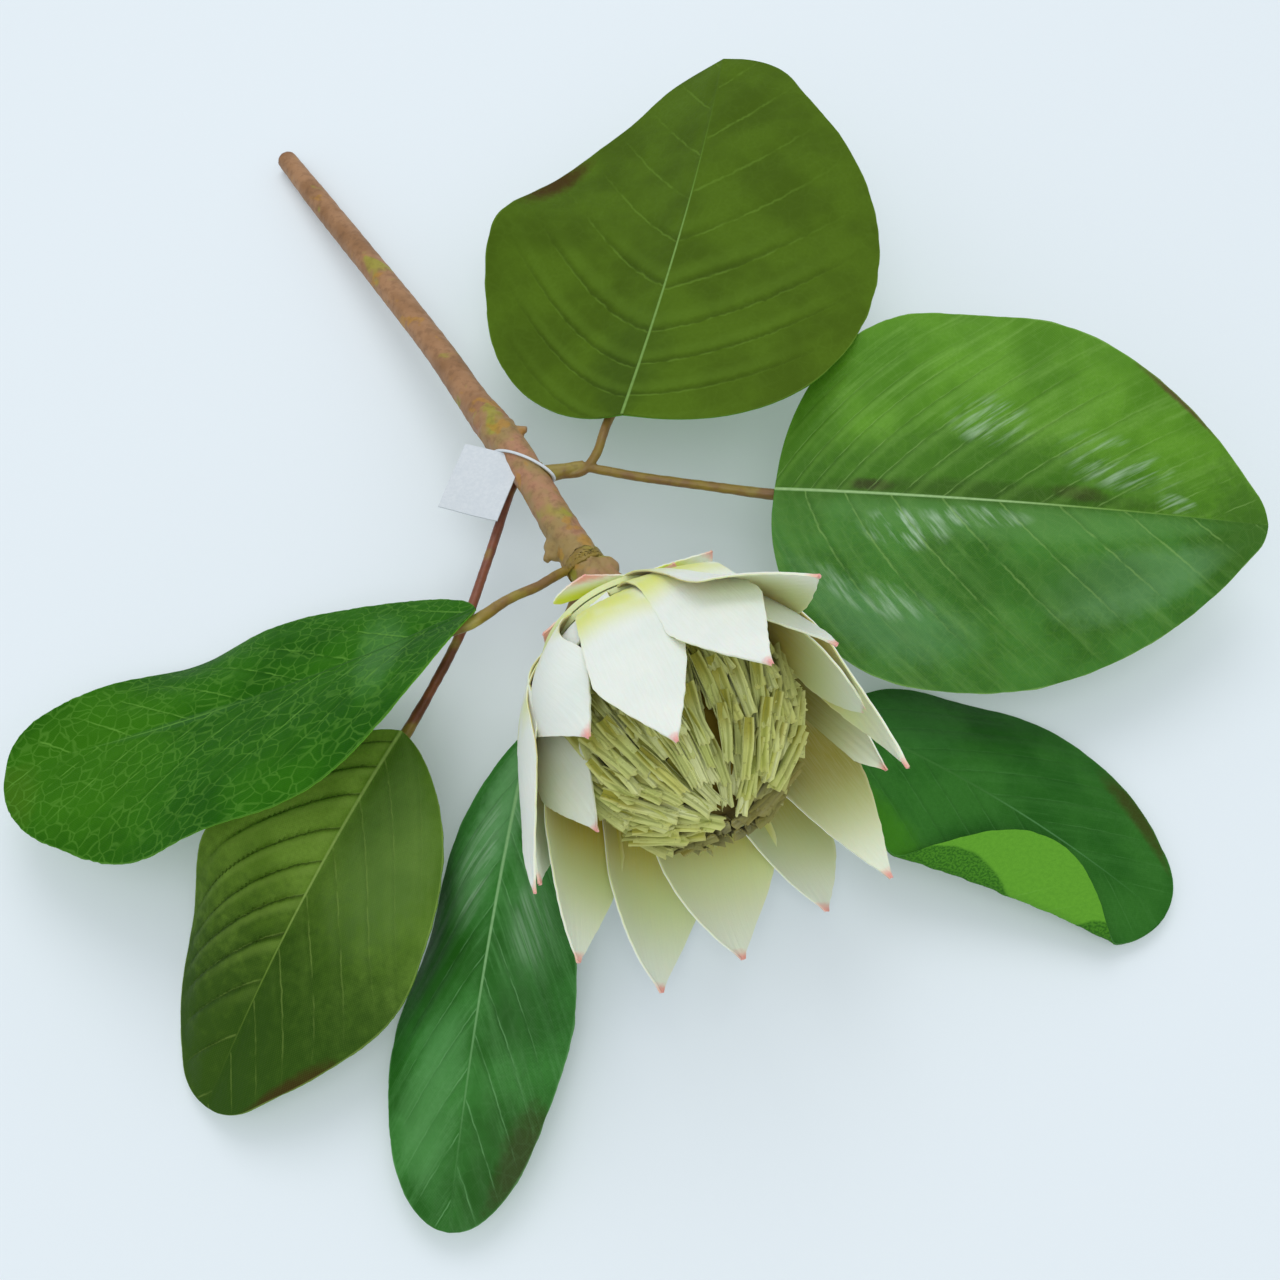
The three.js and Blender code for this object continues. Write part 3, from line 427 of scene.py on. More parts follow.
class Pile:
    """Points, faces and marks of one piece, gathered until they become a mesh."""

    def __init__(self):
        self.points = []
        self.faces = []
        self.marks = {}
        self.count = 0

    def add(self, points, faces, **marks):
        """Adds one closed body, with its faces turned outwards."""
        points = np.asarray(points, float).reshape(-1, 3)
        self.faces.extend(tuple(i + self.count for i in face) for face in facing_out(points, faces))
        self.points.append(points)
        for name, values in marks.items():
            self.marks.setdefault(name, []).append(np.broadcast_to(values, (len(points), 3)))
        self.count += len(points)

    def build(self, name, sharp=50):
        points = (np.vstack(self.points) + SHIFT) * MM
        mesh = bpy.data.meshes.new(name)
        mesh.from_pydata(points.tolist(), [], self.faces)
        for mark, values in self.marks.items():
            attribute = mesh.attributes.new(mark, "FLOAT_VECTOR", "POINT")
            attribute.data.foreach_set("vector", np.vstack(values).astype(np.float32).ravel())
        mesh.polygons.foreach_set("use_smooth", [True] * len(mesh.polygons))
        mesh.set_sharp_from_angle(angle=math.radians(sharp))
        mesh.update()
        piece = bpy.data.objects.new(name, mesh)
        bpy.context.scene.collection.objects.link(piece)
        return piece


def settle(piece, material, slot, *nodes):
    """Gives a piece its material, lets it ride, and puts it in place of solids; the slot is not used."""
    piece.data.materials.clear()
    piece.data.materials.append(material)
    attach(piece, "root")
    if nodes:
        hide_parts(*nodes)


def sheet_faces(rows, cols):
    """Faces of a closed sheet: a front grid, a back grid and the rim between them."""
    faces = []
    back = rows * cols
    for i in range(rows - 1):
        for j in range(cols - 1):
            a = i * cols + j
            faces.append((a, a + cols, a + cols + 1, a + 1))
            faces.append((back + a, back + a + 1, back + a + cols + 1, back + a + cols))
    rim = list(range(cols))
    rim += [i * cols + cols - 1 for i in range(1, rows)]
    rim += [(rows - 1) * cols + j for j in range(cols - 2, -1, -1)]
    rim += [i * cols for i in range(rows - 2, 0, -1)]
    for k, a in enumerate(rim):
        b = rim[(k + 1) % len(rim)]
        faces.append((a, b, back + b, back + a))
    return faces


def both_sides(rows):
    """A mark's rows for the front, and again for the back with the third number one higher."""
    return np.vstack([rows, rows + np.array([0.0, 0.0, 1.0])])


def tube_faces(rings, sides):
    faces = []
    for i in range(rings - 1):
        for j in range(sides):
            a = i * sides + j
            b = i * sides + (j + 1) % sides
            faces.append((a, b, b + sides, a + sides))
    faces.append(tuple(range(sides - 1, -1, -1)))
    last = (rings - 1) * sides
    faces.append(tuple(last + j for j in range(sides)))
    return faces


def ring_faces(rings, count):
    """Faces of a ring that closes on itself, made of loops of points."""
    faces = []
    for i in range(rings):
        for j in range(count):
            here, there = i * count, (i + 1) % rings * count
            after = (j + 1) % count
            faces.append((here + j, here + after, there + after, there + j))
    return faces


def tube_points(line, radii, sides):
    ways, across, over = frames_along(line)
    angles = np.linspace(0, 2 * math.pi, sides, endpoint=False)
    ring = np.cos(angles)[None, :, None] * across[:, None] + np.sin(angles)[None, :, None] * over[:, None]
    return line[:, None] + ring * np.asarray(radii)[:, None, None]


def facing_out(points, faces):
    """The faces, turned over where they look into the body."""
    volume = 0.0
    for size in sorted({len(face) for face in faces}):
        corners = points[np.array([face for face in faces if len(face) == size])]
        for k in range(1, size - 1):
            volume += np.sum(corners[:, 0] * np.cross(corners[:, k], corners[:, k + 1]))
    return faces if volume > 0 else [tuple(reversed(face)) for face in faces]


def apply_modifiers(piece):
    bpy.context.view_layer.update()
    shape = piece.evaluated_get(bpy.context.evaluated_depsgraph_get())
    mesh = bpy.data.meshes.new_from_object(shape)
    old = piece.data
    piece.modifiers.clear()
    piece.data = mesh
    bpy.data.meshes.remove(old)
    mesh.name = piece.name


def fuse(piece, voxel):
    """Fuses the overlapping parts of a piece into one skin, and evens out the small steps in it."""
    remesh = piece.modifiers.new("fuse", "REMESH")
    remesh.mode = "VOXEL"
    remesh.voxel_size = voxel * MM
    remesh.use_smooth_shade = True
    apply_modifiers(piece)
    relax = piece.modifiers.new("relax", "SMOOTH")
    relax.factor = RELAX_SHARE
    relax.iterations = RELAX_TIMES
    apply_modifiers(piece)


def design_points(piece):
    """Mesh points and normals of a piece, in millimetres in the design frame."""
    mesh = piece.data
    points = np.zeros(len(mesh.vertices) * 3)
    normals = np.zeros(len(mesh.vertices) * 3)
    mesh.vertices.foreach_get("co", points)
    mesh.vertices.foreach_get("normal", normals)
    return points.reshape(-1, 3) / MM - SHIFT, normals.reshape(-1, 3)


def set_points(piece, points):
    moved = (points + SHIFT) * MM
    piece.data.vertices.foreach_set("co", moved.astype(np.float32).ravel())
    piece.data.update()


def set_mark(piece, name, values):
    attribute = piece.data.attributes.new(name, "FLOAT_VECTOR", "POINT")
    attribute.data.foreach_set("vector", np.asarray(values, np.float32).ravel())


def grain(points, size, seed=0.0):
    """Smooth noise at each point, from about -1 to 1, with features of the given size."""
    return np.array([noise.noise(Vector(p / size) + Vector((seed, seed, seed))) for p in points])


class Number:
    """A number in a shader. Arithmetic on it adds math nodes."""

    def __init__(self, shader, socket):
        self.shader = shader
        self.socket = socket

    def __add__(self, other):
        return self.shader.math("ADD", self, other)

    def __radd__(self, other):
        return self.shader.math("ADD", other, self)

    def __sub__(self, other):
        return self.shader.math("SUBTRACT", self, other)

    def __rsub__(self, other):
        return self.shader.math("SUBTRACT", other, self)

    def __mul__(self, other):
        return self.shader.math("MULTIPLY", self, other)

    def __truediv__(self, other):
        return self.shader.math("DIVIDE", self, other)

    def __abs__(self):
        return self.shader.math("ABSOLUTE", self)


class Shader:
    """A material with a few short ways to add and join its nodes."""

    def __init__(self, name):
        self.material = bpy.data.materials.new(name)
        self.material.use_nodes = True
        self.tree = self.material.node_tree
        self.surface = self.tree.nodes["Principled BSDF"]

    def node(self, kind, **settings):
        made = self.tree.nodes.new(kind)
        for key, value in settings.items():
            setattr(made, key, value)
        return made

    def put(self, value, socket):
        if isinstance(value, Number):
            self.tree.links.new(value.socket, socket)
        elif isinstance(value, bpy.types.NodeSocket):
            self.tree.links.new(value, socket)
        elif isinstance(value, tuple) and len(value) == 3 and socket.type == "RGBA":
            socket.default_value = linear(value)
        else:
            socket.default_value = value

    def set(self, **values):
        for key, value in values.items():
            self.put(value, self.surface.inputs[key.replace("_", " ")])

    def math(self, operation, a, b=0.0, clamp=False):
        made = self.node("ShaderNodeMath", operation=operation, use_clamp=clamp)
        self.put(a, made.inputs[0])
        self.put(b, made.inputs[1])
        return Number(self, made.outputs[0])

    def mix(self, share, a, b):
        made = self.node("ShaderNodeMix", data_type="RGBA")
        self.put(share, made.inputs[0])
        self.put(a, made.inputs[6])
        self.put(b, made.inputs[7])
        return made.outputs[2]

    def rise(self, value, low, high):
        """0 below low, 1 above high and smooth between them; low may be the larger one."""
        made = self.node("ShaderNodeMapRange", interpolation_type="SMOOTHSTEP")
        self.put(value, made.inputs[0])
        made.inputs[1].default_value = low
        made.inputs[2].default_value = high
        return Number(self, made.outputs[0])

    def mark(self, name):
        """The three numbers of a mark on the mesh."""
        attribute = self.node("ShaderNodeAttribute", attribute_name=name)
        split = self.node("ShaderNodeSeparateXYZ")
        self.put(attribute.outputs["Vector"], split.inputs[0])
        return [Number(self, output) for output in split.outputs]

    def vector(self, x, y, z):
        made = self.node("ShaderNodeCombineXYZ")
        for value, socket in zip((x, y, z), made.inputs):
            self.put(value, socket)
        return made.outputs[0]

    def place(self):
        return self.node("ShaderNodeTexCoord").outputs["Object"]

    def noise(self, place, scale, detail=2.0, rough=0.5, warp=0.0):
        made = self.node("ShaderNodeTexNoise")
        self.put(place, made.inputs["Vector"])
        made.inputs["Scale"].default_value = scale
        made.inputs["Detail"].default_value = detail
        made.inputs["Roughness"].default_value = rough
        made.inputs["Distortion"].default_value = warp
        return Number(self, made.outputs["Fac"])

    def cells(self, place, scale):
        """Distance from the edge of random cells."""
        made = self.node("ShaderNodeTexVoronoi", feature="DISTANCE_TO_EDGE")
        self.put(place, made.inputs["Vector"])
        made.inputs["Scale"].default_value = scale
        return Number(self, made.outputs["Distance"])

    def bump(self, height, distance, strength=1.0):
        made = self.node("ShaderNodeBump")
        made.inputs["Strength"].default_value = strength
        made.inputs["Distance"].default_value = distance * MM
        self.put(height, made.inputs["Height"])
        self.put(made.outputs[0], self.surface.inputs["Normal"])


# Leaves

def midrib(leaf, u):
    """Places, side and face directions of a leaf's midrib at shares of its length."""
    def ways(t):
        yaw = np.radians(blend(*leaf["yaw"], t))
        pitch = np.radians(blend(*leaf["pitch"], t))
        level = np.cos(pitch)
        return np.stack([np.cos(yaw) * level, np.sin(yaw) * level, np.sin(pitch)], axis=-1)
    fine = np.linspace(0, 1, 401)
    steps = ways((fine[1:] + fine[:-1]) / 2) * leaf["length"] / 400
    run = np.vstack([np.zeros(3), np.cumsum(steps, axis=0)]) + np.array(leaf["foot"])
    place = np.stack([np.interp(u, fine, run[:, k]) for k in range(3)], axis=-1)
    along = ways(u)
    yaw = np.radians(blend(*leaf["yaw"], u))
    roll = np.radians(blend(*leaf["roll"], u))[..., None]
    level = np.stack([-np.sin(yaw), np.cos(yaw), np.zeros_like(yaw)], axis=-1)
    rise = np.cross(along, level)
    side = level * np.cos(roll) + rise * np.sin(roll)
    face = rise * np.cos(roll) - level * np.sin(roll)
    return place, side, face


def leaf_outline(leaf, u):
    """Share of the full half width at a share of the length, with a rounded tip."""
    top = leaf["rise"] / (leaf["rise"] + leaf["fall"])
    peak = top ** leaf["rise"] * (1 - top) ** leaf["fall"]
    start, fullness = leaf["tip"]
    turn = np.minimum(1 - u, 1 - start)
    power = blend(leaf["fall"], fullness, smooth((u - start) / (0.85 * (1 - start))))
    tip = (turn / (1 - start)) ** power * (1 - start) ** leaf["fall"]
    fall = np.where(u < start, (1 - u) ** leaf["fall"], tip)
    return np.maximum(u ** leaf["rise"] * fall / peak, LEAF_END)


def half_section(leaf, half, u, arc, reach):
    """Way out from the midrib, rise over it and slope, at an arc length across one half."""
    k = 0 if half > 0 else 1
    bend = math.radians(leaf["curl"][k]) / leaf["widths"][k]
    fold = math.radians(leaf["fold"])
    slope = fold + bend * arc
    out = (np.sin(slope) - math.sin(fold)) / bend
    rise = (math.cos(fold) - np.cos(slope)) / bend
    depth, spot = leaf["dips"][k]
    v = arc / reach
    dip = depth * np.exp(-((u - spot) / DIP_REACH) ** 2) * v * v * np.sin(math.pi * u)
    return out, rise - dip, slope


def kept_reach(leaf, half, u):
    """Reach of one half's blade up to where its margin is folded over, and its full reach."""
    full = leaf["widths"][0 if half > 0 else 1]
    reach = full * leaf_outline(leaf, u)
    if half > 0 or "flap" not in leaf:
        return reach, reach
    first, last = leaf["flap"]
    share = min(max((u - first) / (last - first), 0.0), 1.0)
    ends = leaf_outline(leaf, np.array([first, last]))
    chord = full * blend(ends[0], ends[1], share)
    inside = min(chord, reach - FLAP_LEAST) if first < u < last else reach - FLAP_LEAST
    inside = max(inside, 0.5 * reach)
    return inside, inside + (reach - inside) * blend(1.0, FLAP_GAIN, math.sin(math.pi * share))


def half_row(leaf, half, u, wave):
    """Out, rise, slope and arc of the points across one half, from the midrib to the margin."""
    kept, reach = kept_reach(leaf, half, u)
    steps = LEAF_ACROSS
    arcs = np.concatenate([[0.4], np.linspace(0, 1, steps)[1:] * kept])
    arcs[-1] += wave
    out, rise, slope = half_section(leaf, half, u, arcs, kept)
    if reach <= kept:
        return out, rise, slope, arcs, reach
    rest_length = reach - kept
    bend_length = min(FLAP_BEND * FLAP_TURN, 0.75 * rest_length)
    spots = np.concatenate([np.linspace(0, 1, 11)[1:] * bend_length,
                            blend(bend_length, rest_length, np.linspace(0, 1, 13)[1:])])
    rounded = np.minimum(spots, bend_length) / FLAP_BEND
    rest = spots - np.minimum(spots, bend_length)
    angle = slope[-1] + rounded
    flap_out = out[-1] + FLAP_BEND * (np.sin(angle) - math.sin(slope[-1])) + rest * np.cos(angle)
    flap_rise = rise[-1] + FLAP_BEND * (math.cos(slope[-1]) - np.cos(angle)) + rest * np.sin(angle)
    return (np.concatenate([out, flap_out]), np.concatenate([rise, flap_rise]),
            np.concatenate([slope, angle]), np.concatenate([arcs, kept + spots]), reach)


def vein_phase(leaf, veins, x, arc, full):
    """A number that passes a whole value at each lateral vein."""
    starts, slope_foot, slope_tip, bend = veins
    turn = (slope_tip - slope_foot) / leaf["length"]
    start = (x - slope_foot * arc - bend * arc * arc / full) / (1 + turn * arc) / leaf["length"]
    whole = np.arange(len(starts), dtype=float)
    inside = np.interp(start, starts, whole)
    before = (start - starts[0]) / (starts[1] - starts[0])
    after = whole[-1] + (start - starts[-1]) / (starts[-1] - starts[-2])
    return np.where(start < starts[0], before, np.where(start > starts[-1], after, inside)) + 20


def crown(phase, lean):
    """Height of the leaf between two veins: 0 on a vein, 1 at the top of the crown."""
    t = phase - np.floor(phase)
    top = lean / (lean + 1)
    return t ** lean * (1 - t) / (top ** lean * (1 - top))


def make_leaf(name):
    leaf = LEAVES[name]
    veins = VEINS[name]
    even = np.linspace(0, 1, LEAF_STEPS + 1)
    us = blend(even, (1 - np.cos(math.pi * even)) / 2, 0.7)
    places, sides, faces_up = midrib(leaf, us)
    rng = random.Random(name)
    waves = {half: [0.35 * noise.noise(Vector((u * 26, half * 7.3, len(name)))) for u in us]
             for half in (1, -1)}
    front = []
    back = []
    cloth = []
    vein = []
    spot = []
    folds = []
    for i, u in enumerate(us):
        row = []
        for half, key in ((-1, "right"), (1, "left")):
            full = leaf["widths"][0 if half > 0 else 1]
            ragged = waves[half][i] + (rng.random() - 0.5) * leaf["fray"]
            out, rise, slope, arcs, reach = half_row(leaf, half, u, ragged)
            x = u * leaf["length"]
            phase = vein_phase(leaf, veins[key], x, arcs, full)
            height = veins["crown"][0 if half > 0 else 1] * crown(phase, veins["lean"])
            height = height * smooth(arcs / 5) * smooth((reach - arcs) / (0.35 * full)) * smooth(u * 9)
            kept = kept_reach(leaf, half, u)[0]
            fold = np.clip((arcs - kept) / max(reach - kept, 0.1), 0, 1) if reach > kept else 0 * arcs
            part = np.stack([half * out, rise, slope, np.full_like(out, half), arcs, phase, height,
                             arcs / reach, reach - arcs, fold], axis=1)
            row.append(part[::-1] if half < 0 else part)
        rib = np.array([[0, 0, 0, 1, 0, 0, 0, 0, leaf["length"], 0]])
        table = np.vstack([row[0], rib, row[1]])
        out, rise, slope, half, arcs, phase, height, v, edge, fold = table.T
        ridge = 0.45 * np.exp(-(arcs / 0.9) ** 2) * (1 - 0.7 * u)
        normal = faces_up[i] * np.cos(slope)[:, None] - sides[i] * (half * np.sin(slope))[:, None]
        base = places[i] + sides[i] * out[:, None] + faces_up[i] * rise[:, None]
        front.append(base + normal * (height + ridge + LEAF_THICK / 2)[:, None])
        back.append(base + normal * (height - LEAF_THICK / 2)[:, None])
        x = np.full_like(out, u * leaf["length"])
        cloth.append(np.stack([x, half * arcs, edge], axis=1))
        vein.append(np.stack([phase, half * v, height], axis=1))
        spot.append(np.stack([np.full_like(out, u), arcs, np.zeros_like(out)], axis=1))
        folds.append(np.stack([fold, np.zeros_like(out), np.zeros_like(out)], axis=1))
    cloth, vein, spot, folds = np.vstack(cloth), np.vstack(vein), np.vstack(spot), np.vstack(folds)
    pile = Pile()
    pile.add(np.vstack(front + back), sheet_faces(len(front), len(front[0])),
             cloth=np.vstack([cloth, cloth]), vein=np.vstack([vein, vein]),
             spot=both_sides(spot), fold=np.vstack([folds, folds]))
    piece = pile.build("fine_leaf_" + name)
    settle(piece, leaf_material(name), "leaf_" + name, "leaf_" + name)


def near_zone(s, u, v, place_u, place_v, size_u, size_v):
    """0 in the middle of a zone of a leaf and 1 at its edge."""
    du = (u - place_u) / size_u
    dv = (v - place_v) / size_v
    return du * du + dv * dv


def leaf_material(name):
    looks = LEAF_LOOKS[name]
    s = Shader("leaf " + name.replace("_", " "))
    along, across, edge = s.mark("cloth")
    phase, v, _ = s.mark("vein")
    u, arc, under = s.mark("spot")
    flat = s.vector(along, across, 0.0)
    cloudy = s.noise(flat, 0.035, 3.0, 0.55)
    mottle = s.noise(flat, 0.9, 3.0, 0.6)
    tone = s.rise(cloudy, 0.36, 0.64)
    colour = s.mix(tone, *looks["tones"])
    if "second" in looks:
        colour = s.mix(s.rise(v, 0.005, -0.005), colour, s.mix(tone, *looks["second"]))
    # A lighter tone for the painted sheen streaks and the painted highlights on pleat crests.
    lit = s.mix(s.rise(v, 0.005, -0.005), looks["tones"][1], looks.get("second", looks["tones"])[1])
    lit = s.mix(0.35, lit, looks["vein"])
    # Painted sheen: pale streaks that follow the lateral veins.
    ray = s.vector(phase * 2.6, arc * 0.035, s.math("SIGN", v))
    sheen_streaks = s.rise(s.noise(ray, 1.5, 4.0, 0.6), 0.45, 0.75)
    colour = s.mix(sheen_streaks * looks["sheen_streaks"], colour, lit)
    colour = s.mix(s.rise(mottle, 0.35, 0.7) * 0.25, colour, looks["tones"][0])
    # Tinted zones: some are the leaf's own patches, others painted sheen and painted shade.
    for place_u, place_v, size_u, size_v, share, tint in looks["zones"]:
        far = near_zone(s, u, v, place_u, place_v, size_u, size_v)
        loose = far + (s.noise(flat, 0.3, 3.0, 0.6) - 0.5)
        colour = s.mix(s.rise(loose, 1.3, 0.0) * share, colour, tint)
    # Glints: painted highlight streaks.
    for place_u, place_v, size_u, size_v, share in looks.get("glints", ()):
        far = near_zone(s, u, v, place_u, place_v, size_u, size_v)
        shine = s.rise(far, 1.0, 0.1) * s.rise(s.noise(ray, 2.4, 3.0, 0.6), 0.42, 0.72)
        colour = s.mix(shine * share, colour, GLINT)
    ripple = phase + (s.noise(flat, 0.25, 2.0) - 0.5) * 0.1
    turn = s.math("FRACT", ripple)
    # Painted pleat shading: painted shade in the valleys beside the veins, painted highlight on the crests.
    left, right = looks["pleat_shading"]
    shown = s.rise(v, -0.005, 0.005) * (left - right) + right
    shown = s.rise(u, looks["pleat_end"], 0.6 * looks["pleat_end"]) * shown * s.rise(abs(v), 1.0, 0.55)
    valley_shade = s.rise(turn, 0.16, 0.0) * looks["valley_shade"]
    colour = s.mix(valley_shade * shown, colour, tuple(0.5 * c for c in looks["tones"][0]))
    crest_highlight = s.rise(turn, 0.08, 0.2) * s.rise(turn, 0.5, 0.25)
    colour = s.mix(crest_highlight * shown * 0.45, colour, lit)
    warp = s.node("ShaderNodeTexNoise")
    s.put(flat, warp.inputs["Vector"])
    warp.inputs["Scale"].default_value = 0.2
    bent = s.node("ShaderNodeVectorMath", operation="MULTIPLY_ADD")
    s.put(warp.outputs["Color"], bent.inputs[0])
    bent.inputs[1].default_value = (3.0, 3.0, 0.0)
    s.put(flat, bent.inputs[2])
    net = s.rise(s.cells(bent.outputs[0], 0.24), 0.085, 0.01)
    patchy = s.rise(s.noise(flat, 0.1, 2.0), 0.25, 0.55)
    colour = s.mix(net * patchy * looks["net"], colour, looks["vein"])
    line = s.rise(s.math("PINGPONG", ripple, 0.5), 0.035, 0.008)
    fade = s.rise(abs(v), 1.0, 0.3) * s.rise(s.noise(flat, 0.16, 2.0), 0.3, 0.6)
    line = line * fade * looks["veins"]
    colour = s.mix(line, colour, looks["vein"])
    thick = (0.2 + (1.0 - u) * 0.6) * looks["rib_width"]
    rib = s.rise(arc / thick, 1.1, 0.3) * s.rise(u, 1.0, 0.4)
    broken = 0.55 + s.noise(flat, 0.5, 2.0) * 0.7
    rib_tone = s.mix(s.rise(u, 0.4, 0.7), *looks["ribs"])
    colour = s.mix(s.math("MULTIPLY", rib, broken, clamp=True), colour, rib_tone)
    colour = s.mix(s.rise(edge, 0.5, 0.0) * 0.4, colour, looks["vein"])
    back = s.mix(s.rise(mottle, 0.3, 0.75) * 0.4, LEAF_UNDERSIDE, UNDERSIDE_DEEP)
    back = s.mix(line, back, UNDERSIDE_VEIN)
    if "flap" in LEAVES[name]:
        fold, _, _ = s.mark("fold")
        lens = s.rise(u + fold * 0.29, 0.645, 0.665)
        lens = lens * s.rise(u - fold * 0.075, 0.8, 0.79)
        speckled = s.mix(s.rise(s.noise(flat, 1.5, 2.0), 0.42, 0.6), SPECKLED, SPECKLE)
        back = s.mix(s.rise(fold, 0.0, 0.01) * (1.0 - lens), back, speckled)
    colour = s.mix(s.rise(under, 0.4, 0.6), colour, back)
    thread = 2 * math.pi / LEAF_THREAD
    weave = s.math("SINE", along * thread) * s.math("SINE", across * thread)
    colour = s.mix(s.rise(weave, -0.2, 1.0) * 0.07, colour, looks["vein"])
    rough = looks["rough"] + (mottle - 0.5) * 0.2 + under * 0.2
    s.set(Base_Color=colour, Roughness=rough, Specular_IOR_Level=looks["gloss"])
    bumps = weave * 0.1 + mottle * 0.5 + s.noise(flat, 0.3, 3.0) * 1.2 + line * 0.4
    s.bump(bumps, 0.3, 0.6)
    return s.material


# Flower head

def head_axes():
    out = np.array([math.cos(HEAD_YAW) * math.cos(HEAD_PITCH), math.sin(HEAD_YAW) * math.cos(HEAD_PITCH),
                    math.sin(HEAD_PITCH)])
    side = unit(np.cross((0.0, 0.0, 1.0), out))
    down = np.cross(side, out)
    return np.stack([side, out, down], axis=1)


HEAD = head_axes()


def head_points(points):
    """Points of the head frame (right, along the flower, down) in the design frame."""
    return np.asarray(points, float) @ HEAD.T + HEAD_FOOT


def bract_line(distances, opening, layer, opens, lift=0.0):
    """Radius, height and angle of a bract's middle line, moved out by its layer and lift."""
    fine = np.linspace(0, BRACT_LIMIT, BRACT_FINE_STEPS + 1)
    middle = (fine[1:] + fine[:-1]) / 2

    def angle_at(d):
        return np.radians(look_up(CUP_ANGLES, d) + opening * np.clip((d - opens) / OPENING_RUN, 0, 1))
    step = fine[1] - fine[0]
    radius = CUP_START + np.concatenate([[0], np.cumsum(np.sin(angle_at(middle)) * step)])
    height = np.concatenate([[0], np.cumsum(np.cos(angle_at(middle)) * step)])
    angle = angle_at(distances)
    blade = smooth((distances - BLADE_START) / BLADE_RUN)
    out = layer * blend(LAYER_PITCH, LAYER_SPREAD, blade) + lift * blade
    r = np.interp(distances, fine, radius) + out * np.cos(angle)
    h = np.interp(distances, fine, height) - out * np.sin(angle)
    return r, h, angle


def bract_half_width(share, widest, fullness):
    foot = blend(BRACT_FOOT_WIDTH, 1, np.clip(share / widest, 0, 1) ** 0.9)
    point = 1 - np.clip((share - widest) / (1 - widest), 0, 1) ** fullness
    return np.where(share < widest, foot, np.maximum(point, 0.03))


def add_bract(pile, layer, bract, rng):
    turn, opening, length, width, lean, widest, fullness, skew, lift = bract
    flared = length < FLARED_BRACT
    opens = FLARED_OPENS if flared else LONG_OPENS
    shares = np.linspace(0, 1, BRACT_STEPS + 1)
    distances = blend(BRACT_START, length, shares)
    radius, height, angle = bract_line(distances, opening, layer, opens, lift)
    half = width * BRACT_HALF_WIDTH * bract_half_width(distances / length, widest, fullness)
    shift = skew * width * BRACT_HALF_WIDTH * smooth((distances / length - 0.3) / 0.7)
    curve = BRACT_CURVE * blend(0.25, 1, smooth((distances - 12) / 26))
    theta = math.radians(turn)
    middle = np.stack([radius * math.sin(theta), height, -radius * math.cos(theta)], axis=1)
    facing = np.radians(turn + lean * smooth((distances - 15) / 30))
    around = np.stack([np.cos(facing), np.zeros_like(facing), np.sin(facing)], axis=1)
    tilt = np.cos(angle)
    normal = np.stack([np.sin(facing) * tilt, -np.sin(angle), -np.cos(facing) * tilt], axis=1)
    across = np.linspace(-1, 1, BRACT_ACROSS + 1)
    phase = rng.uniform(0, 6)
    front = []
    back = []
    cloth = []
    spot = []
    for i, d in enumerate(distances):
        fray = np.array([(rng.random() - 0.5) * 0.3 if abs(a) == 1 else 0.0 for a in across])
        bend = (across * half[i] + shift[i] + fray) * curve[i]
        wave = 0.5 * math.sin(d / 11 + phase) * across ** 2 * smooth((d - 40) / 30)
        ribs = 0.05 * np.sin(across * half[i] * 2.6)
        point = (middle[i] + around[i] * (np.sin(bend) / curve[i])[:, None]
                 + normal[i] * ((np.cos(bend) - 1) / curve[i])[:, None])
        skin = normal[i] * np.cos(bend)[:, None] + around[i] * np.sin(bend)[:, None]
        front.append(point + skin * (BRACT_THICK / 2 + wave + ribs)[:, None])
        back.append(point + skin * (wave + ribs - BRACT_THICK / 2)[:, None])
        same = np.ones_like(across)
        cloth.append(np.stack([same * d, across * half[i], same * (length - d)], axis=1))
        spot.append(np.stack([same * (d / length), across, same * 0.0], axis=1))
    cloth, spot = np.vstack(cloth), np.vstack(spot)
    points = head_points(np.vstack(front + back))
    faces = sheet_faces(len(distances), len(across))
    kind = np.array([1.0 if flared else 0.0, rng.random(), math.cos(math.radians(turn) - SHADY_TURN)])
    pile.add(points, faces, cloth=np.vstack([cloth, cloth]), spot=both_sides(spot), kind=kind)


def add_cup(pile, layer):
    """The moulded cup that holds one ring of bracts, bored for the stem's peg."""
    distances = np.linspace(0, CUP_END, 9)
    radius, height, angle = bract_line(distances, 0, layer, LONG_OPENS)
    x, y = np.cos(angle), -np.sin(angle)
    inside = np.stack([radius - x * CUP_WALL / 2, height - y * CUP_WALL / 2], axis=1)
    outside = np.stack([radius + x * CUP_WALL / 2, height + y * CUP_WALL / 2], axis=1)
    bore = PEG_RADIUS + GAP
    loop = np.vstack([[bore, outside[0, 1]], outside, inside[::-1], [bore, inside[0, 1]]])
    angles = np.linspace(0, 2 * math.pi, CUP_SIDES, endpoint=False)
    points = [[(r * math.sin(t), h, -r * math.cos(t)) for r, h in loop] for t in angles]
    points = head_points(np.array(points).reshape(-1, 3))
    faces = ring_faces(CUP_SIDES, len(loop))
    pile.add(points, faces, cloth=(10, 0, 80), spot=(0.76, 0, 1), kind=(1, 0.5, 0))


def make_bracts():
    material = bract_material()
    rng = random.Random(11)
    for layer, (name, bracts) in enumerate(BRACT_LAYERS.items()):
        pile = Pile()
        add_cup(pile, layer)
        for bract in bracts:
            add_bract(pile, layer, bract, rng)
        settle(pile.build("fabric_" + name), material, "bract", name)


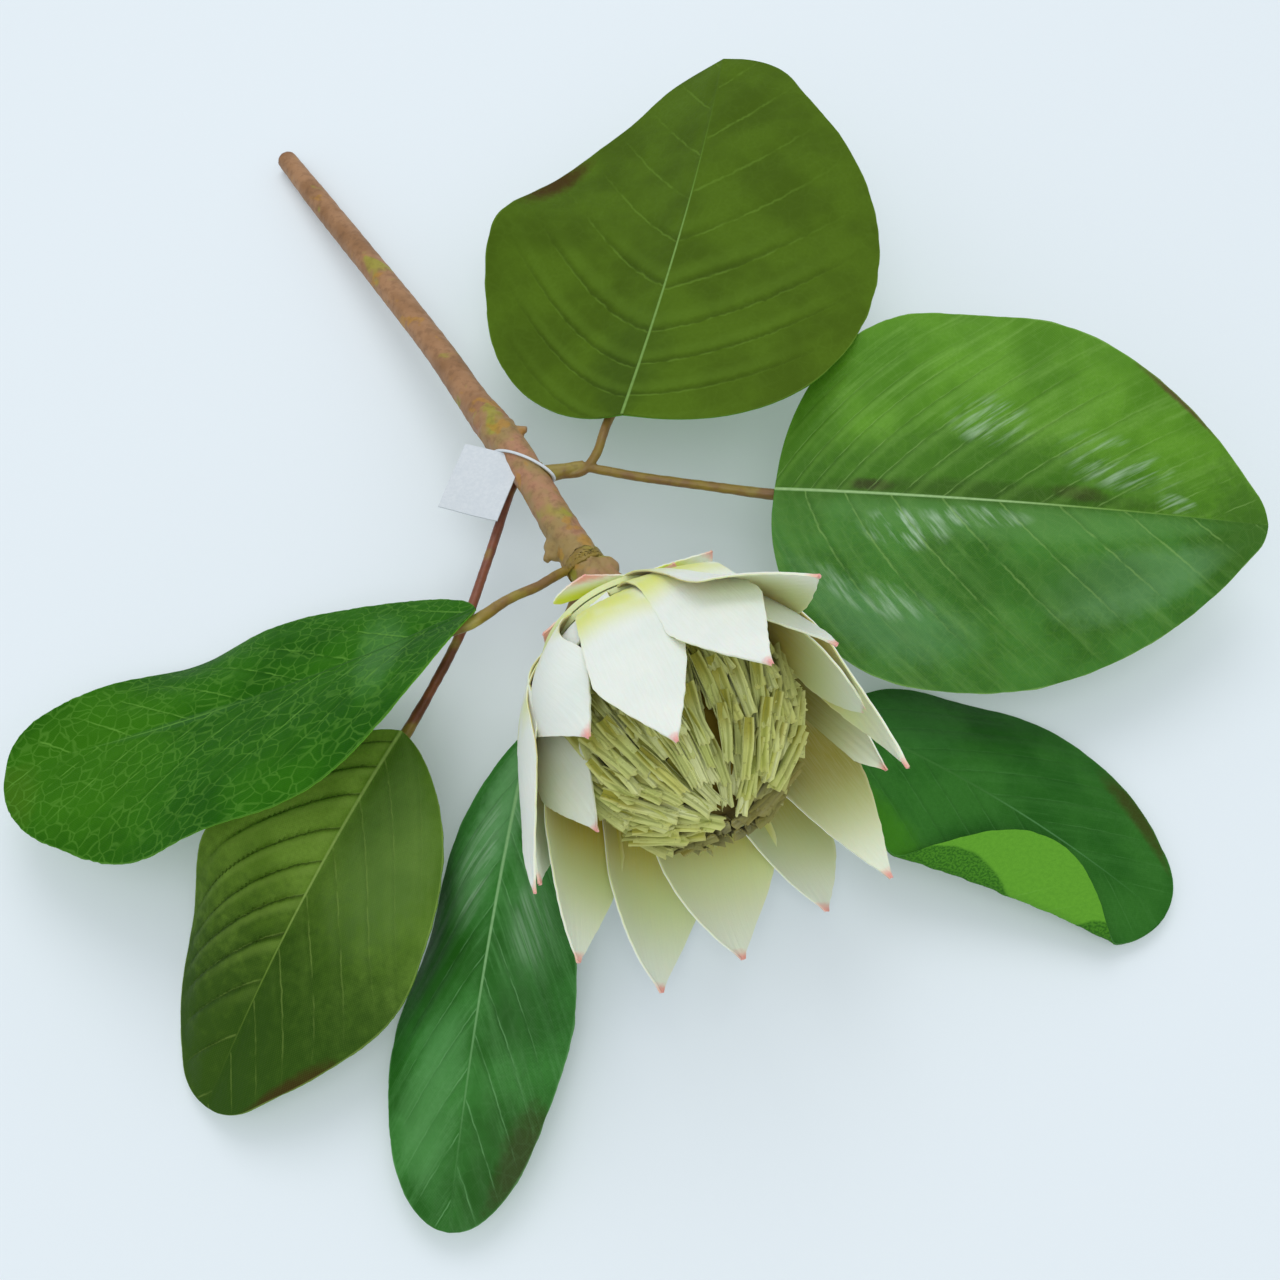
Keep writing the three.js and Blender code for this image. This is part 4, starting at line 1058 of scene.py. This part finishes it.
def bract_material():
    s = Shader("bract fabric")
    along, across, left = s.mark("cloth")
    share, side, inner = s.mark("spot")
    flared, tone, shady = s.mark("kind")
    cloth = s.vector(along * 0.06, across, tone * 40.0)
    threads = s.noise(cloth, 2.2, 3.0, 0.6)
    soft = s.noise(s.vector(along, across, tone * 40.0), 0.06, 2.0)
    outside = s.mix(s.rise(share, 0.42, 0.16), (238, 242, 234), (210, 220, 140))
    blots = s.noise(s.vector(along, across, tone * 9.0), 0.07, 1.0)
    lemon_root = s.rise(share, 0.52, 0.34) * s.rise(blots, 0.36, 0.56) * s.rise(shady, 0.3, -0.2)
    outside = s.mix(lemon_root * 0.85, outside, (216, 222, 36))
    outside = s.mix(s.rise(soft, 0.4, 0.7) * 0.35, outside, (220, 231, 224))
    deep = s.mix(s.rise(share, 0.3, 0.65), (152, 134, 8), (200, 186, 50))
    inside = s.mix(s.rise(share, 0.54, 0.76), deep, (210, 222, 152))
    inside = s.mix(s.rise(share, 0.7, 0.98), inside, (232, 239, 217))
    # Painted shade: the inside faces of bracts turned towards SHADY_TURN are darker, except near the tip.
    dusk = s.rise(shady, 0.75, 0.95) * s.rise(share, 0.96, 0.6)
    inside = s.mix(dusk * 0.8, inside, (112, 108, 30))
    lemon = s.mix(s.rise(share, 0.6, 0.88), (212, 224, 40), (234, 240, 226))
    inside = s.mix(flared, inside, lemon)
    colour = s.mix(s.rise(inner, 0.4, 0.6), outside, inside)
    colour = s.mix(s.rise(threads, 0.35, 0.7) * 0.1, colour, (198, 206, 176))
    tip = left + s.noise(s.vector(along, across, tone), 0.5, 2.0) * 2.0
    colour = s.mix(s.rise(tip, 4.6, 1.4) * 0.8, colour, (238, 140, 130))
    rim = s.rise(abs(side), 0.93, 1.0)
    colour = s.mix(rim * 0.25, colour, (236, 236, 196))
    s.set(Base_Color=colour, Roughness=0.62, Specular_IOR_Level=0.3, Sheen_Weight=0.25,
          Subsurface_Weight=0.12, Subsurface_Scale=0.002)
    bumps = threads + s.noise(s.vector(along, across, 0.0), 1.3, 2.0) * 0.5
    s.bump(bumps, 0.12, 0.5)
    return s.material


def dome_surface():
    """Radius and height of the dome at distances from its top, along its surface."""
    line, _, run = curve_through([(r, 0, h) for r, h in reversed(DOME_PROFILE)], 400)
    return run, line[:, 0], line[:, 2]


def add_strip(pile, tip, way, out, length, width, rng, tint):
    """A cut channel strip: tip, the way it points, the way its open side looks."""
    way = unit(way)
    out = unit(out - way * np.dot(out, way))
    side = np.cross(way, out)
    across = np.linspace(-1, 1, 9)
    steps = np.linspace(0, 1, 7)
    bow = rng.uniform(-0.9, 0.9)
    twist = rng.uniform(-0.35, 0.35)
    swing = rng.uniform(-1.0, 1.0)
    depth = STRIP_DEPTH * rng.uniform(0.6, 1.4)
    cut = [rng.uniform(-0.7, 0.7) for _ in across]
    front = []
    back = []
    spot = []
    for t in steps:
        spread = width / 2 * (1 + 0.15 * math.sin(6 * t + swing))
        turn = twist * (t - 0.5)
        for k, a in enumerate(across):
            x = a * spread
            z = depth * (max(abs(a) - STRIP_FLAT, 0) / (1 - STRIP_FLAT)) ** 1.4
            y = (t - 1) * length + (cut[k] if t == 1 else 0.0)
            z += bow * (t - 0.5) ** 2 * 2 + 0.12 * math.sin(9 * a + 5 * t + swing)
            x += swing * 0.5 * math.sin(math.pi * t)
            x, z = x * math.cos(turn) - z * math.sin(turn), x * math.sin(turn) + z * math.cos(turn)
            middle = tip + way * y + side * x + out * z
            front.append(middle + out * STRIP_WALL / 2)
            back.append(middle - out * STRIP_WALL / 2)
            spot.append((t, a, 0.0))
    points = head_points(lean_over(front + back))
    pile.add(points, sheet_faces(len(steps), len(across)), spot=both_sides(np.array(spot)), tint=tint)


def lean_over(points):
    """Shifts the dome sideways, more towards its top, as it sits a little askew."""
    points = np.asarray(points, float).reshape(-1, 3)
    return points + np.outer(np.clip(points[:, 1] / 45, 0, 1), (DOME_LEAN, 0, 0))


def around_axis(angle, radius, height):
    return np.array([radius * math.sin(angle), height, -radius * math.cos(angle)])


def add_core(pile):
    run, radius, height = dome_surface()
    rings = np.linspace(0, len(run) - 1, CORE_RINGS).astype(int)[1:]
    angles = np.linspace(0, 2 * math.pi, CORE_SIDES, endpoint=False)
    points = [around_axis(t, max(radius[k] - CORE_INSET, 0.2), height[k] - CORE_DROP)
              for k in rings for t in angles]
    top = [around_axis(t, 0.3, height[0] - CORE_DROP) for t in angles]
    points = head_points(lean_over(top + points))
    pile.add(points, tube_faces(len(rings) + 1, CORE_SIDES), spot=(0, 0, 0), tint=(0.5, 0, 1))


def add_tier(pile, distance, drop, rng):
    """A ring of strips whose tips lie at a distance from the pole and a little under the surface."""
    run, radius, height = dome_surface()
    count = max(4, int(2 * math.pi * (np.interp(distance, run, radius) + 1) / STRIP_SPACING))
    first = rng.random()
    for k in range(count):
        angle = 2 * math.pi * (k + first + rng.uniform(-0.25, 0.25)) / count
        s = max(distance + rng.uniform(-2.6, 2.6), 0.8)
        r = np.interp(s, run, radius)
        h = np.interp(s, run, height)
        slope = math.atan2(np.interp(s + 2, run, radius) - r, h - np.interp(s + 2, run, height))
        swirl = rng.uniform(-0.24, 0.24) + 0.3 * math.exp(-s / 9)
        lift = math.radians(rng.uniform(6, 12)) + 0.45 * math.exp(-s / 7)
        outward = around_axis(angle, 1, 0)
        around = around_axis(angle + math.pi / 2, 1, 0)
        inward = np.array([0, 1, 0]) * math.cos(slope) - outward * math.sin(slope)
        normal = outward * math.cos(slope) + np.array([0, 1, 0]) * math.sin(slope)
        way = inward * math.cos(lift) + normal * math.sin(lift)
        way = way * math.cos(swirl) + around * math.sin(swirl)
        tip = around_axis(angle, r, h) + normal * (rng.uniform(1.2, 3.8) - drop)
        length = STRIP_LENGTH * rng.uniform(0.85, 1.15)
        width = STRIP_WIDTH * rng.uniform(0.8, 1.2)
        tint = np.array([rng.random(), rng.random() if rng.random() < 0.3 else 0.0, 0.0])
        # Painted light: strips far from the pole, under the bracts, are made paler.
        tint[0] = blend(tint[0], 1.0, 0.7 * smooth((s - 18) / 16))
        # Painted shade: strips near the pole on the DARK_ANGLE side take some of the core's dark colour.
        tint[2] = 0.7 * smooth((math.cos(angle - DARK_ANGLE) + 0.1) / 0.8) * smooth((26 - s) / 16)
        add_strip(pile, tip, way, normal, length, width, rng, tint)


def make_centre():
    rng = random.Random(5)
    pile = Pile()
    add_core(pile)
    for tier in STRIP_TIERS:
        for row in (0, 1):
            add_tier(pile, tier + ROW_BACK * row, ROW_DROP * row, rng)
    add_loose_strips(pile, rng)
    piece = pile.build("fringed_centre", sharp=60)
    settle(piece, centre_material(), "centre", "flower_centre")


def add_loose_strips(pile, rng):
    """Longer yellow strips that stand in a ring between the dome and the bracts."""
    for k in range(LOOSE_COUNT):
        angle = blend(LOOSE_FIRST, LOOSE_LAST, (k + rng.uniform(-0.4, 0.4)) / LOOSE_COUNT)
        lean = math.radians(rng.uniform(-2, 16))
        outward = around_axis(angle, 1, 0)
        around = around_axis(angle + math.pi / 2, 1, 0)
        way = np.array([0, 1, 0]) * math.cos(lean) + outward * math.sin(lean)
        way = way + around * rng.uniform(-0.2, 0.2)
        tip = around_axis(angle, rng.uniform(*LOOSE_RADIUS), rng.uniform(*LOOSE_HEIGHT))
        tint = (rng.random(), rng.uniform(0.5, 1.0), 0.0)
        length = rng.uniform(*LOOSE_LENGTH)
        width = rng.uniform(*LOOSE_WIDTH)
        add_strip(pile, tip, way, outward, length, width, rng, tint)


def centre_material():
    s = Shader("centre strips")
    along, side, _ = s.mark("spot")
    tone, yellow, core_and_shade = s.mark("tint")
    place = s.place()
    fibre = s.noise(s.vector(along * 3.0, side * 9.0, tone * 60.0), 1.0, 3.0, 0.6)
    colour = s.mix(s.rise(tone, 0.0, 1.0), (196, 206, 112), (236, 240, 186))
    colour = s.mix(yellow * 0.6, colour, (212, 208, 84))
    # Strip roots are darker mustard: partly their own colour and partly painted shade.
    colour = s.mix(s.rise(along, 0.58, 0.15) * 0.85, colour, (164, 156, 44))
    # Painted shade in each strip's channel and on its walls, and a painted highlight on its rims.
    groove_shade = s.rise(abs(side), 0.5, 0.1)
    colour = s.mix(groove_shade * 0.15, colour, (150, 160, 84))
    wall_shade = s.rise(abs(side), 0.42, 0.58) * s.rise(abs(side), 0.8, 0.66)
    colour = s.mix(wall_shade * 0.5, colour, (128, 136, 58))
    rim = s.rise(abs(side), 0.74, 0.92)
    colour = s.mix(rim * 0.75, colour, (222, 226, 150))
    colour = s.mix(s.rise(fibre, 0.45, 0.75) * 0.35, colour, (140, 146, 76))
    colour = s.mix(s.rise(along, 0.93, 1.0) * 0.5, colour, (206, 206, 128))
    speck = s.noise(place, 900.0, 2.0)
    colour = s.mix(s.rise(speck, 0.62, 0.72) * 0.35, colour, (96, 92, 30))
    # The core's own dark colour, and the painted shade on strips near the pole.
    colour = s.mix(core_and_shade, colour, (112, 94, 16))
    s.set(Base_Color=colour, Roughness=0.75, Specular_IOR_Level=0.2, Sheen_Weight=0.1)
    s.bump(fibre + speck * 0.4, 0.35, 0.7)
    return s.material


# Stem and stalks

def add_round(pile, line, radii, sides):
    """A closed round body with one ring at each point of a line."""
    pile.add(tube_points(line, radii, sides), tube_faces(len(line), sides))


def add_tube(pile, points, radii, rings, sides):
    """A round body on a smooth curve; returns the curve and how far along it each ring lies."""
    line, marks_on, run = curve_through(points, rings)
    add_round(pile, line, np.interp(marks_on, np.arange(len(radii)), radii), sides)
    return line, run


def add_ball(pile, centre, size, yaw):
    rings, sides = 12, 18
    heights = np.cos(np.linspace(0.02, math.pi - 0.02, rings))
    angles = np.linspace(0, 2 * math.pi, sides, endpoint=False)
    grid = [[(math.sqrt(1 - h * h) * math.cos(t), math.sqrt(1 - h * h) * math.sin(t), h) for t in angles]
            for h in heights]
    points = np.array(grid).reshape(-1, 3) * np.array(size)
    c, s = math.cos(math.radians(yaw)), math.sin(math.radians(yaw))
    points = points @ np.array([[c, s, 0], [-s, c, 0], [0, 0, 1]]) + np.array(centre)
    pile.add(points, tube_faces(rings, sides))


def add_cone(pile, start, end, radius, tip):
    rings = 6
    line = np.linspace(np.array(start, float), np.array(end, float), rings)
    add_round(pile, line, np.linspace(radius, tip, rings), 16)


def nearest_on(line, points):
    """Index of the nearest point of a line, for each point."""
    best = np.zeros(len(points), int)
    for start in range(0, len(points), 4000):
        part = points[start:start + 4000]
        gaps = np.linalg.norm(part[:, None] - line[None], axis=2)
        best[start:start + 4000] = gaps.argmin(axis=1)
    return best


def make_stem():
    pile = Pile()
    line, run = add_tube(pile, STEM_LINE, STEM_RADII, STEM_RINGS, STEM_SIDES)
    for centre, size, yaw in STEM_BUMPS:
        add_ball(pile, centre, size, yaw)
    for start, end, radius in STEM_STUBS:
        add_cone(pile, start, end, radius, STUB_TIP)
    foot = -2 * LAYER_PITCH - CUP_WALL - GAP
    flange = head_points([(0, foot - FLANGE_HEIGHT, 0), (0, foot, 0)])
    add_round(pile, flange, (FLANGE_FOOT, FLANGE_RADIUS), FLANGE_SIDES)
    peg = head_points([(0, foot - PEG_ROOT, 0), (0, PEG_REACH, 0)])
    add_round(pile, peg, (PEG_RADIUS, PEG_RADIUS), PEG_SIDES)
    piece = pile.build("moulded_stem")
    fuse(piece, STEM_VOXEL)
    points, normals = design_points(piece)
    near = nearest_on(line, points)
    share = run[near] / run[-1]
    knots = sum(np.exp(-((share - place) / reach) ** 2) for place, reach in STEM_KNOTS)
    pits = grain(points, 2.2) * STEM_PITS[0] + grain(points, 4.0, 9.0) * STEM_PITS[1]
    rough = pits * (0.3 + knots)
    set_points(piece, points + normals * rough[:, None])
    set_mark(piece, "spot", np.stack([share, knots, rough], axis=1))
    settle(piece, stem_material(), "stem", "stem")


def stem_material():
    s = Shader("stem plastic")
    share, knots, _ = s.mark("spot")
    place = s.place()
    wide = s.noise(place, 60.0, 3.0, 0.6)
    fine = s.noise(place, 420.0, 3.0, 0.6)
    colour = s.mix(s.rise(wide, 0.35, 0.65), (138, 98, 60), (164, 122, 84))
    low = s.mix(s.rise(wide, 0.38, 0.6), (172, 124, 94), (152, 128, 76))
    colour = s.mix(s.rise(share, 0.6, 0.72), colour, low)
    patch = s.noise(place, 95.0, 2.0, 0.5, 0.6)
    green = s.rise(patch + knots * 0.16, 0.64, 0.76)
    colour = s.mix(green * 0.8, colour, (152, 150, 42))
    amber = s.rise(s.noise(place, 140.0, 2.0) + knots * 0.1, 0.62, 0.7)
    colour = s.mix(amber * 0.6, colour, (176, 128, 32))
    colour = s.mix(s.rise(fine, 0.45, 0.7) * 0.3, colour, (86, 58, 34))
    cut = s.rise(share, 0.004, 0.0)
    colour = s.mix(cut * 0.8, colour, (120, 84, 70))
    s.set(Base_Color=colour, Roughness=0.42 + fine * 0.25, Specular_IOR_Level=0.4)
    s.bump(fine + wide * 0.6, 0.35, 0.6)
    return s.material


def stalk_line(name):
    """Points and radii of a stalk from the stem to its socket, and on under the midrib."""
    leaf = LEAVES[name]
    points = [np.array(p, float) for p in STALKS[name]]
    radii = [STALK_RADIUS] * len(points)
    for step in (0, 0.2, 0.45, 0.7, 1):
        share = blend(leaf["socket"], RIB_REACH, step)
        place, _, face = midrib(leaf, np.array([share]))
        thick = SOCKET_RADIUS if step == 0 else blend(RIB_RADIUS, RIB_TIP_RADIUS, step)
        drop = (thick + SOLID_LEAF_THICK / 2 + GAP) / math.cos(math.radians(leaf["fold"])) + RIB_DROP
        points.append(place[0] - face[0] * drop)
        radii.append(thick)
    return points, radii


def clear_of_stem(piece, line, radii_line):
    """Draws the points of a stalk's root back to the stem's skin."""
    points, _ = design_points(piece)
    near = nearest_on(line, points)
    away = points - line[near]
    gap = np.linalg.norm(away, axis=1)
    least = radii_line[near] + GAP
    short = gap < least
    points[short] = (line[near] + away / np.maximum(gap, 1e-6)[:, None] * least[:, None])[short]
    set_points(piece, points)


def make_stalks():
    line, marks_on, _ = curve_through(STEM_LINE, 500)
    thick = np.interp(marks_on, np.arange(len(STEM_RADII)), STEM_RADII)
    olive = stalk_material("stalk olive", (140, 118, 40), (124, 92, 48))
    red = stalk_material("stalk red", (132, 74, 48), (104, 56, 36))
    plans = {
        "stalk_fork": (("top", "right"), olive, "stalk_olive"),
        "stalk_left": (("left",), olive, "stalk_olive"),
        "stalk_lower_left": (("lower_left",), red, "stalk_red"),
        "stalk_bottom": (("bottom",), olive, "stalk_olive"),
        "stalk_lower_right": (("lower_right",), olive, "stalk_olive"),
    }
    for node, (names, material, slot) in plans.items():
        pile = Pile()
        sockets = []
        for name in names:
            points, radii = stalk_line(name)
            add_tube(pile, points, radii, STALK_RINGS, STALK_SIDES)
            sockets.append(points[len(STALKS[name])])
        if node == "stalk_fork":
            add_tube(pile, FORK_TRUNK, FORK_TRUNK_RADII, FORK_RINGS, FORK_SIDES)
        piece = pile.build("moulded_" + node)
        fuse(piece, STALK_VOXEL)
        clear_of_stem(piece, line, thick)
        points, normals = design_points(piece)
        near_socket = np.min([np.linalg.norm(points - socket, axis=1) for socket in sockets], axis=0)
        rough = STALK_PITS * grain(points, 2.5, 3.0)
        set_points(piece, points + normals * rough[:, None])
        set_mark(piece, "spot", np.outer(near_socket, (1, 0, 0)))
        settle(piece, material, slot, node)


def stalk_material(name, top, low):
    s = Shader(name)
    socket, _, _ = s.mark("spot")
    place = s.place()
    wide = s.noise(place, 110.0, 3.0)
    fine = s.noise(place, 600.0, 2.0)
    colour = s.mix(s.rise(wide, 0.35, 0.65), top, low)
    colour = s.mix(s.rise(s.noise(place, 70.0, 2.0), 0.55, 0.66) * 0.5, colour, (150, 142, 50))
    colour = s.mix(s.rise(fine, 0.5, 0.75) * 0.3, colour, (92, 62, 30))
    colour = s.mix(s.rise(socket, 4.0, 1.0) * 0.85, colour, (196, 182, 92))
    s.set(Base_Color=colour, Roughness=0.42, Specular_IOR_Level=0.45)
    s.bump(fine + wide, 0.2, 0.6)
    return s.material


# Label

def turned(points, tilt, yaw):
    cx, sx = math.cos(tilt[0]), math.sin(tilt[0])
    cy, sy = math.cos(tilt[1]), math.sin(tilt[1])
    cz, sz = math.cos(yaw), math.sin(yaw)
    about_x = np.array([[1, 0, 0], [0, cx, -sx], [0, sx, cx]])
    about_y = np.array([[cy, 0, sy], [0, 1, 0], [-sy, 0, cy]])
    about_z = np.array([[cz, -sz, 0], [sz, cz, 0], [0, 0, 1]])
    return np.asarray(points, float) @ (about_z @ about_y @ about_x).T


def make_label():
    rows, cols = 30, 26
    xs = np.linspace(-0.5, 0.5, cols) * LABEL_SIZE[0]
    ys = np.linspace(-0.5, 0.5, rows) * LABEL_SIZE[1]
    x, y = np.meshgrid(xs, ys)
    z = 0.9 * (x / LABEL_SIZE[0]) ** 2 - 0.7 * (y / LABEL_SIZE[1] + 0.2) ** 2
    z = z + 0.15 * np.sin(x / 3 + y / 5)
    front = np.stack([x, y, z + LABEL_THICK / 2], axis=-1)
    back = np.stack([x, y, z - LABEL_THICK / 2], axis=-1)
    points = turned(np.vstack([front.reshape(-1, 3), back.reshape(-1, 3)]), LABEL_TILT, LABEL_YAW)
    points = points + np.array(LABEL_CENTRE)
    pile = Pile()
    pile.add(points, sheet_faces(rows, cols))
    add_strap(pile)
    piece = pile.build("blank_label")
    settle(piece, label_material(), "label", "label")


def add_strap(pile):
    """A narrow band round the stem, in an upright plane."""
    line, marks_on, _ = curve_through(STEM_LINE, 800)
    across = np.array([math.cos(STRAP_YAW), math.sin(STRAP_YAW), 0.0])
    normal = np.array([-math.sin(STRAP_YAW), math.cos(STRAP_YAW), 0.0])
    k = np.abs((line - STRAP_CENTRE) @ normal).argmin()
    middle = line[k]
    axis = unit(line[k + 1] - line[k - 1])
    thick = np.interp(marks_on[k], np.arange(len(STEM_RADII)), STEM_RADII)
    up = np.array([0.0, 0.0, 1.0])
    points = []
    for t in np.linspace(0, 2 * math.pi, STRAP_SIDES, endpoint=False):
        way = across * math.cos(t) + up * math.sin(t)
        slant = np.linalg.norm(way - axis * way.dot(axis))
        inner = (thick + STRAP_OUT[0]) / slant
        outer = (thick + STRAP_OUT[1]) / slant
        for reach, edge in ((inner, -1), (outer, -1), (outer, 1), (inner, 1)):
            points.append(middle + way * reach + normal * edge * STRAP_WIDTH / 2)
    pile.add(points, ring_faces(STRAP_SIDES, 4))


def label_material():
    s = Shader("label paper")
    place = s.place()
    fibre = s.noise(place, 900.0, 4.0, 0.6)
    cloudy = s.noise(place, 120.0, 2.0)
    colour = s.mix(s.rise(fibre, 0.35, 0.7), (206, 213, 219), (214, 220, 225))
    colour = s.mix(s.rise(cloudy, 0.45, 0.65) * 0.2, colour, (198, 207, 215))
    s.set(Base_Color=colour, Roughness=0.8, Specular_IOR_Level=0.2)
    s.bump(fibre, 0.05, 0.4)
    return s.material


# Table, light and camera

def make_table():
    mesh = bpy.data.meshes.new("table")
    corners = [(x * TABLE_HALF, y * TABLE_HALF, 0) for x, y in ((-1, -1), (1, -1), (1, 1), (-1, 1))]
    mesh.from_pydata(corners, [], [(0, 1, 2, 3)])
    table = bpy.data.objects.new("table", mesh)
    bpy.context.scene.collection.objects.link(table)
    s = Shader("table")
    s.set(Base_Color=(216, 224, 229), Roughness=0.6, Specular_IOR_Level=0.1,
          Emission_Color=(226, 236, 244), Emission_Strength=TABLE_GLOW)
    table.data.materials.append(s.material)


def design_place(point):
    return Vector(((np.asarray(point, float) + SHIFT) * MM).tolist())


def make_light(name, spot, size, watts, colour):
    data = bpy.data.lights.new(name, "AREA")
    data.shape = "DISK"
    data.size = size
    data.energy = watts
    data.color = colour
    lamp = bpy.data.objects.new(name, data)
    lamp.location = spot
    lamp.rotation_euler = (-Vector(spot)).to_track_quat("-Z", "Y").to_euler()
    bpy.context.scene.collection.objects.link(lamp)


def make_lights():
    world = bpy.data.worlds.new("studio")
    world.use_nodes = True
    background = world.node_tree.nodes["Background"]
    background.inputs["Color"].default_value = (0.93, 0.965, 1.0, 1.0)
    background.inputs["Strength"].default_value = SKY_STRENGTH
    bpy.context.scene.world = world
    for name, lamp in LAMPS.items():
        make_light(name, *lamp)


def make_camera():
    way = np.array([0.0, math.cos(CAMERA_ELEVATION), -math.sin(CAMERA_ELEVATION)])
    eye = CAMERA_TARGET - way * CAMERA_DISTANCE
    data = bpy.data.cameras.new("camera")
    data.sensor_fit = "HORIZONTAL"
    data.angle = CAMERA_FIELD
    data.clip_start = 0.01
    data.clip_end = 50.0
    camera = bpy.data.objects.new("camera", data)
    camera.location = design_place(eye)
    camera.rotation_euler = (math.pi / 2 - CAMERA_ELEVATION, 0.0, 0.0)
    bpy.context.scene.collection.objects.link(camera)
    bpy.context.scene.camera = camera


make_camera()
make_lights()
make_table()
for leaf_name in LEAVES:
    make_leaf(leaf_name)
make_bracts()
make_centre()
make_stem()
make_stalks()
make_label()
bpy.context.scene.view_settings.view_transform = "Standard"
